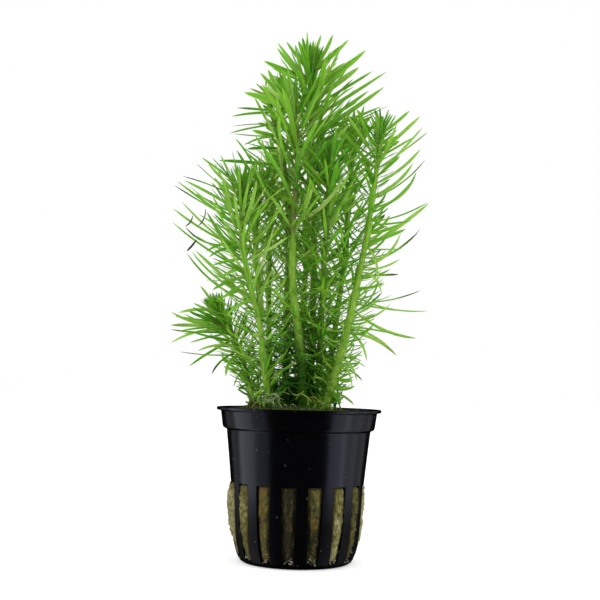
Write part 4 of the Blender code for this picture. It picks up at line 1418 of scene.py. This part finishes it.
def build_moss(settings):
    """Moss of short blades on the wool, down to its edge on the left."""
    chance = random.Random(MOSS_SEED)
    room = COLLAR_TOP_RADIUS - WALL - MOSS_INSET
    blades = []
    while len(blades) < MOSS_BLADES:
        x, y = chance.uniform(-room, room), chance.uniform(-room, room)
        if math.hypot(x, y) > room or x > MOSS_RIGHT + chance.gauss(0, MOSS_EDGE):
            continue
        size = SHORT_MOSS if x < MOSS_LEFT else 1.0
        blades.append(Blade(
            base=on_wool(x, y), azimuth=chance.uniform(0, math.tau), rise=chance.uniform(0.4, 1.4),
            length=chance.uniform(0.8, 2.1) * size * MM, width=chance.uniform(0.2, 0.42) * MM,
            thickness=0.15 * MM, bend=chance.gauss(0, 0.3), sway=chance.gauss(0, 0.8),
        ))
    material = cover_material("moss", settings.moss, dark=(0.008, 0.016, 0.002), roughness=0.7)
    add_piece("moss", blade_mesh(blades, MOSS), material, "leaf")


def short_leaf(chance, x, y, thickness, rise, length, width, bend, tone):
    """A short curly leaf that sprouts from the wool."""
    return Blade(
        base=on_wool(x, y), azimuth=chance.uniform(0, math.tau), rise=chance.uniform(*rise),
        length=chance.uniform(*length) * MM, width=chance.uniform(*width) * MM, thickness=thickness,
        bend=chance.gauss(*bend), sway=chance.gauss(0, 0.7), roll=chance.gauss(0, 0.8),
        twist=chance.gauss(0, 0.6), fold=0.2, tone=chance.uniform(*tone),
    )


def build_basal_leaves(chance, leaf_settings):
    """Short leaves between the stems, right above the wool, and a thicket behind them in painted shade."""
    thickness = leaf_settings.thickness
    feet = [cutting.route[0] for cutting in CUTTINGS.values() if cutting.route[0][2] * MM < POT_HEIGHT]
    leaves = []
    for _ in range(BASAL_LEAVES):
        foot_x, foot_y, _ = chance.choice(feet)
        x = min(max(foot_x + chance.gauss(0, 2.5), BASAL_LEFT), BASAL_RIGHT) * MM
        y = (foot_y + chance.gauss(0, 3.0)) * MM
        leaf = short_leaf(chance, x, y, thickness, **BASAL)
        # Painted shade in the hollow
        leaf.tone -= hollow((x, y, WOOL_TOP))
        leaves.append(leaf)
    # The thicket's tones below the leaves' usual are painted shade
    for _ in range(THICKET_LEAVES):
        x, y = chance.gauss(-1.0, 4.5) * MM, chance.uniform(-2.0, 13.0) * MM
        leaves.append(short_leaf(chance, x, y, thickness, **THICKET))
    mesh = blade_mesh(kept_in(leaves, LOWEST_BASAL_LEAF), LEAF)
    add_piece("basal_leaves", mesh, leaf_material("basal_leaf", leaf_settings), "leaf")


def build_roots(chance, settings):
    """Fine pale roots that grow out above the wool and back down into it."""
    roots = []
    for _ in range(ROOTS):
        x, y = chance.uniform(-14.0, -2.0) * MM, chance.uniform(-13.0, -6.0) * MM
        place = Vector(on_wool(x, y)) + Vector((0, 0, chance.uniform(0.6, 3.2) * MM))
        width = chance.uniform(0.16, 0.3) * MM
        roots.append(Blade(
            base=tuple(place), azimuth=chance.gauss(-1.6, 0.9), rise=chance.uniform(-0.7, 0.5),
            length=chance.uniform(4.0, 8.0) * MM, width=width, thickness=width,
            bend=chance.uniform(-1.3, -0.5), sway=chance.gauss(0, 1.0),
        ))
    material = cover_material("root", settings.root, dark=(0.20, 0.26, 0.10), roughness=0.4)
    add_piece("roots", blade_mesh(roots, ROOT), material, "stem")


def build_litter(name, rows, colour, dark):
    """Bits of dead leaf, each from one point to another."""
    bits = [
        spanning_blade(
            Vector(row[:3]) * MM, Vector(row[3:6]) * MM, *row[6:], LITTER_THICKNESS,
            roll=0.8, twist=0.5, fold=0.3,
        )
        for row in rows
    ]
    add_piece(name, blade_mesh(bits, LEAF), cover_material(name, colour, dark), "leaf")


def build_grains(chance, settings):
    """Pale mineral grains that are caught at the foot of the slots."""
    bm = bmesh.new()
    for index in GRAIN_SLOTS:
        for _ in range(GRAINS_PER_SLOT):
            height = SLOT_FOOT + abs(chance.gauss(0.4, 1.5)) * MM
            away = chance.uniform(-1, 1) * GRAIN_SPREAD * slot_half_angle(height)
            angle = FIRST_SLOT + index * SLOT_PITCH + away
            radius = wall_radius(height) - chance.uniform(0.1, 0.9) * MM
            shape = Matrix.Diagonal([chance.uniform(0.6, 1.4) for _ in range(3)]).to_4x4()
            turn = Matrix.Rotation(chance.uniform(0, math.pi), 4, "X")
            place = Matrix.Translation(round_axis(radius, angle, height))
            bmesh.ops.create_icosphere(
                bm, subdivisions=1, radius=chance.uniform(0.14, 0.36) * MM, matrix=place @ turn @ shape,
            )
    material = cover_material("grain", settings.grain, dark=(0.10, 0.09, 0.05))
    add_piece("slot_grains", mesh_of(bm), material, "rockwool")


def build_cover(settings, leaf_settings):
    """Moss, short leaves, roots, dead leaf bits and pale grains."""
    chance = random.Random(COVER_SEED)
    build_moss(settings)
    build_basal_leaves(chance, leaf_settings)
    build_roots(chance, settings)
    build_litter("dead_leaves", DEAD_LEAVES, settings.dead, (0.14, 0.15, 0.02))
    build_litter("withered_scraps", SCRAPS, leaf_settings.withered, (0.01, 0.009, 0.006))
    build_grains(chance, settings)


# Stage


def add_side_light(name, x, y, width, power):
    """A tall soft light beside the plant, which draws a soft band on the pot's gloss."""
    light = bpy.data.lights.new(name, "AREA")
    light.shape = "RECTANGLE"
    light.size, light.size_y = width, LIGHT_HEIGHT
    light.energy = power * width * LIGHT_HEIGHT
    lamp = linked(name, light)
    lamp.location = (x, y, LIGHT_MIDDLE)
    lamp.rotation_euler = Vector((-x, LIGHT_AIM * abs(x), 0.0)).to_track_quat("-Z", "Y").to_euler()
    lamp.visible_camera = False


def build_world(settings):
    """White to the camera, soft light to the surfaces, and mostly dark to reflections."""
    world = bpy.data.worlds.new("soft_room")
    bpy.context.scene.world = world
    nodes = Nodes(world)
    white, room, dark = (
        nodes.add("ShaderNodeBackground", None, {"Color": WHITE, "Strength": strength})
        for strength in (1.0, settings.surroundings, REFLECTED_ROOM)
    )
    camera, glossy = (
        nodes.add("ShaderNodeLightPath", output=ray) for ray in ("Is Camera Ray", "Is Glossy Ray")
    )
    lit = nodes.add("ShaderNodeMixShader", None, {0: glossy, 1: room, 2: dark})
    seen = nodes.add("ShaderNodeMixShader", None, {0: camera, 1: lit, 2: white})
    nodes.add("ShaderNodeOutputWorld", None, {"Surface": seen})


def build_floor(settings):
    """A pale floor that runs past every view."""
    bm = bmesh.new()
    bmesh.ops.create_circle(bm, cap_ends=True, segments=96, radius=STAGE_RADIUS)
    bmesh.ops.translate(bm, verts=bm.verts, vec=(0, 0, -STAGE_DROP))
    floor = linked("floor", mesh_of(bm))
    nodes = new_material("pale_floor")
    floor.data.materials.append(nodes.finish(nodes.principled({
        "Base Color": nodes.mix(settings.floor, (0.96, 0.96, 0.96), nodes.clouds(0.05)),
        "Roughness": 0.85,
        "Specular IOR Level": 0.1,
        "Emission Color": WHITE,
        "Emission Strength": 0.32,
    })))
    floor.visible_glossy = False


def build_camera(settings):
    """A camera a little above the pot's rim that looks slightly up, with a slight roll."""
    lens = bpy.data.cameras.new("camera")
    lens.lens = settings.lens
    lens.sensor_width = 36.0
    lens.clip_start = 0.01
    camera = linked("camera", lens)
    camera.location = CAMERA_PLACE
    turn = Matrix.Rotation(CAMERA_TIP, 3, "X") @ Matrix.Rotation(CAMERA_ROLL, 3, "Z")
    camera.rotation_euler = turn.to_euler()
    bpy.context.scene.camera = camera


def build_stage(settings):
    """Floor, surroundings, lights, camera and how the picture is developed."""
    build_floor(settings)
    build_world(settings)
    for name, (x, y, width, share) in SIDE_LIGHTS.items():
        add_side_light(name, x, y, width, share * settings.side_light)
    build_camera(settings)
    bpy.context.scene.view_settings.view_transform = "Standard"


# Operators, one for each piece or group of like pieces


class PLANT_OT_pot(bpy.types.Operator):
    """Builds the basket pot"""

    bl_idname = "stem_plant.pot"
    bl_label = "Basket Pot"

    def execute(self, context):
        build_pot(context.scene.stem_plant_pot)
        return {"FINISHED"}


class PLANT_OT_wool(bpy.types.Operator):
    """Builds the rockwool plug and its loose fibres"""

    bl_idname = "stem_plant.wool"
    bl_label = "Rockwool"

    def execute(self, context):
        build_wool(context.scene.stem_plant_wool)
        build_fibres(context.scene.stem_plant_wool)
        return {"FINISHED"}


class PLANT_OT_cover(bpy.types.Operator):
    """Builds the moss, short leaves, roots, leaf bits and grains on the wool"""

    bl_idname = "stem_plant.cover"
    bl_label = "Ground Cover"

    def execute(self, context):
        build_cover(context.scene.stem_plant_cover, context.scene.stem_plant_leaves)
        return {"FINISHED"}


class PLANT_OT_stems(bpy.types.Operator):
    """Builds the stem of every cutting"""

    bl_idname = "stem_plant.stems"
    bl_label = "Stems"

    def execute(self, context):
        settings = context.scene.stem_plant_stems
        material = stem_material(settings)
        for name, cutting in CUTTINGS.items():
            build_stem(name, cutting, settings, material)
        return {"FINISHED"}


class PLANT_OT_leaves(bpy.types.Operator):
    """Builds the leaves of every cutting"""

    bl_idname = "stem_plant.leaves"
    bl_label = "Leaves"

    def execute(self, context):
        build_leaves(context.scene.stem_plant_leaves)
        return {"FINISHED"}


class PLANT_OT_stage(bpy.types.Operator):
    """Builds the floor, the lights and the camera"""

    bl_idname = "stem_plant.stage"
    bl_label = "Stage"

    def execute(self, context):
        build_stage(context.scene.stem_plant_stage)
        return {"FINISHED"}


# Each operator with its settings, in the order in which they run
BUILDERS = {
    PLANT_OT_pot: PotSettings, PLANT_OT_wool: WoolSettings, PLANT_OT_cover: CoverSettings,
    PLANT_OT_stems: StemSettings, PLANT_OT_leaves: LeafSettings, PLANT_OT_stage: StageSettings,
}


def settings_name(operator):
    """What an operator's settings are called in the scene."""
    return operator.bl_idname.replace(".", "_")


class PLANT_PT_panel(bpy.types.Panel):
    """Lists the pieces of the plant and their settings"""

    bl_idname = "PLANT_PT_panel"
    bl_label = "Stem Plant"
    bl_space_type = "VIEW_3D"
    bl_region_type = "UI"
    bl_category = "Stem Plant"

    def draw(self, context):
        for operator, group in BUILDERS.items():
            box = self.layout.box()
            box.operator(operator.bl_idname)
            for name in group.__annotations__:
                box.prop(getattr(context.scene, settings_name(operator)), name)


def register():
    """Registers the settings, the operators and the panel."""
    for operator, group in BUILDERS.items():
        bpy.utils.register_class(group)
        bpy.utils.register_class(operator)
        setattr(bpy.types.Scene, settings_name(operator), bpy.props.PointerProperty(type=group))
    bpy.utils.register_class(PLANT_PT_panel)


def unregister():
    """Takes them off again."""
    bpy.utils.unregister_class(PLANT_PT_panel)
    for operator, group in BUILDERS.items():
        delattr(bpy.types.Scene, settings_name(operator))
        bpy.utils.unregister_class(operator)
        bpy.utils.unregister_class(group)


def main():
    """Builds every piece and the stage."""
    register()
    for operator in BUILDERS:
        group, name = operator.bl_idname.split(".")
        getattr(getattr(bpy.ops, group), name)()


if __name__ == "__main__":
    main()
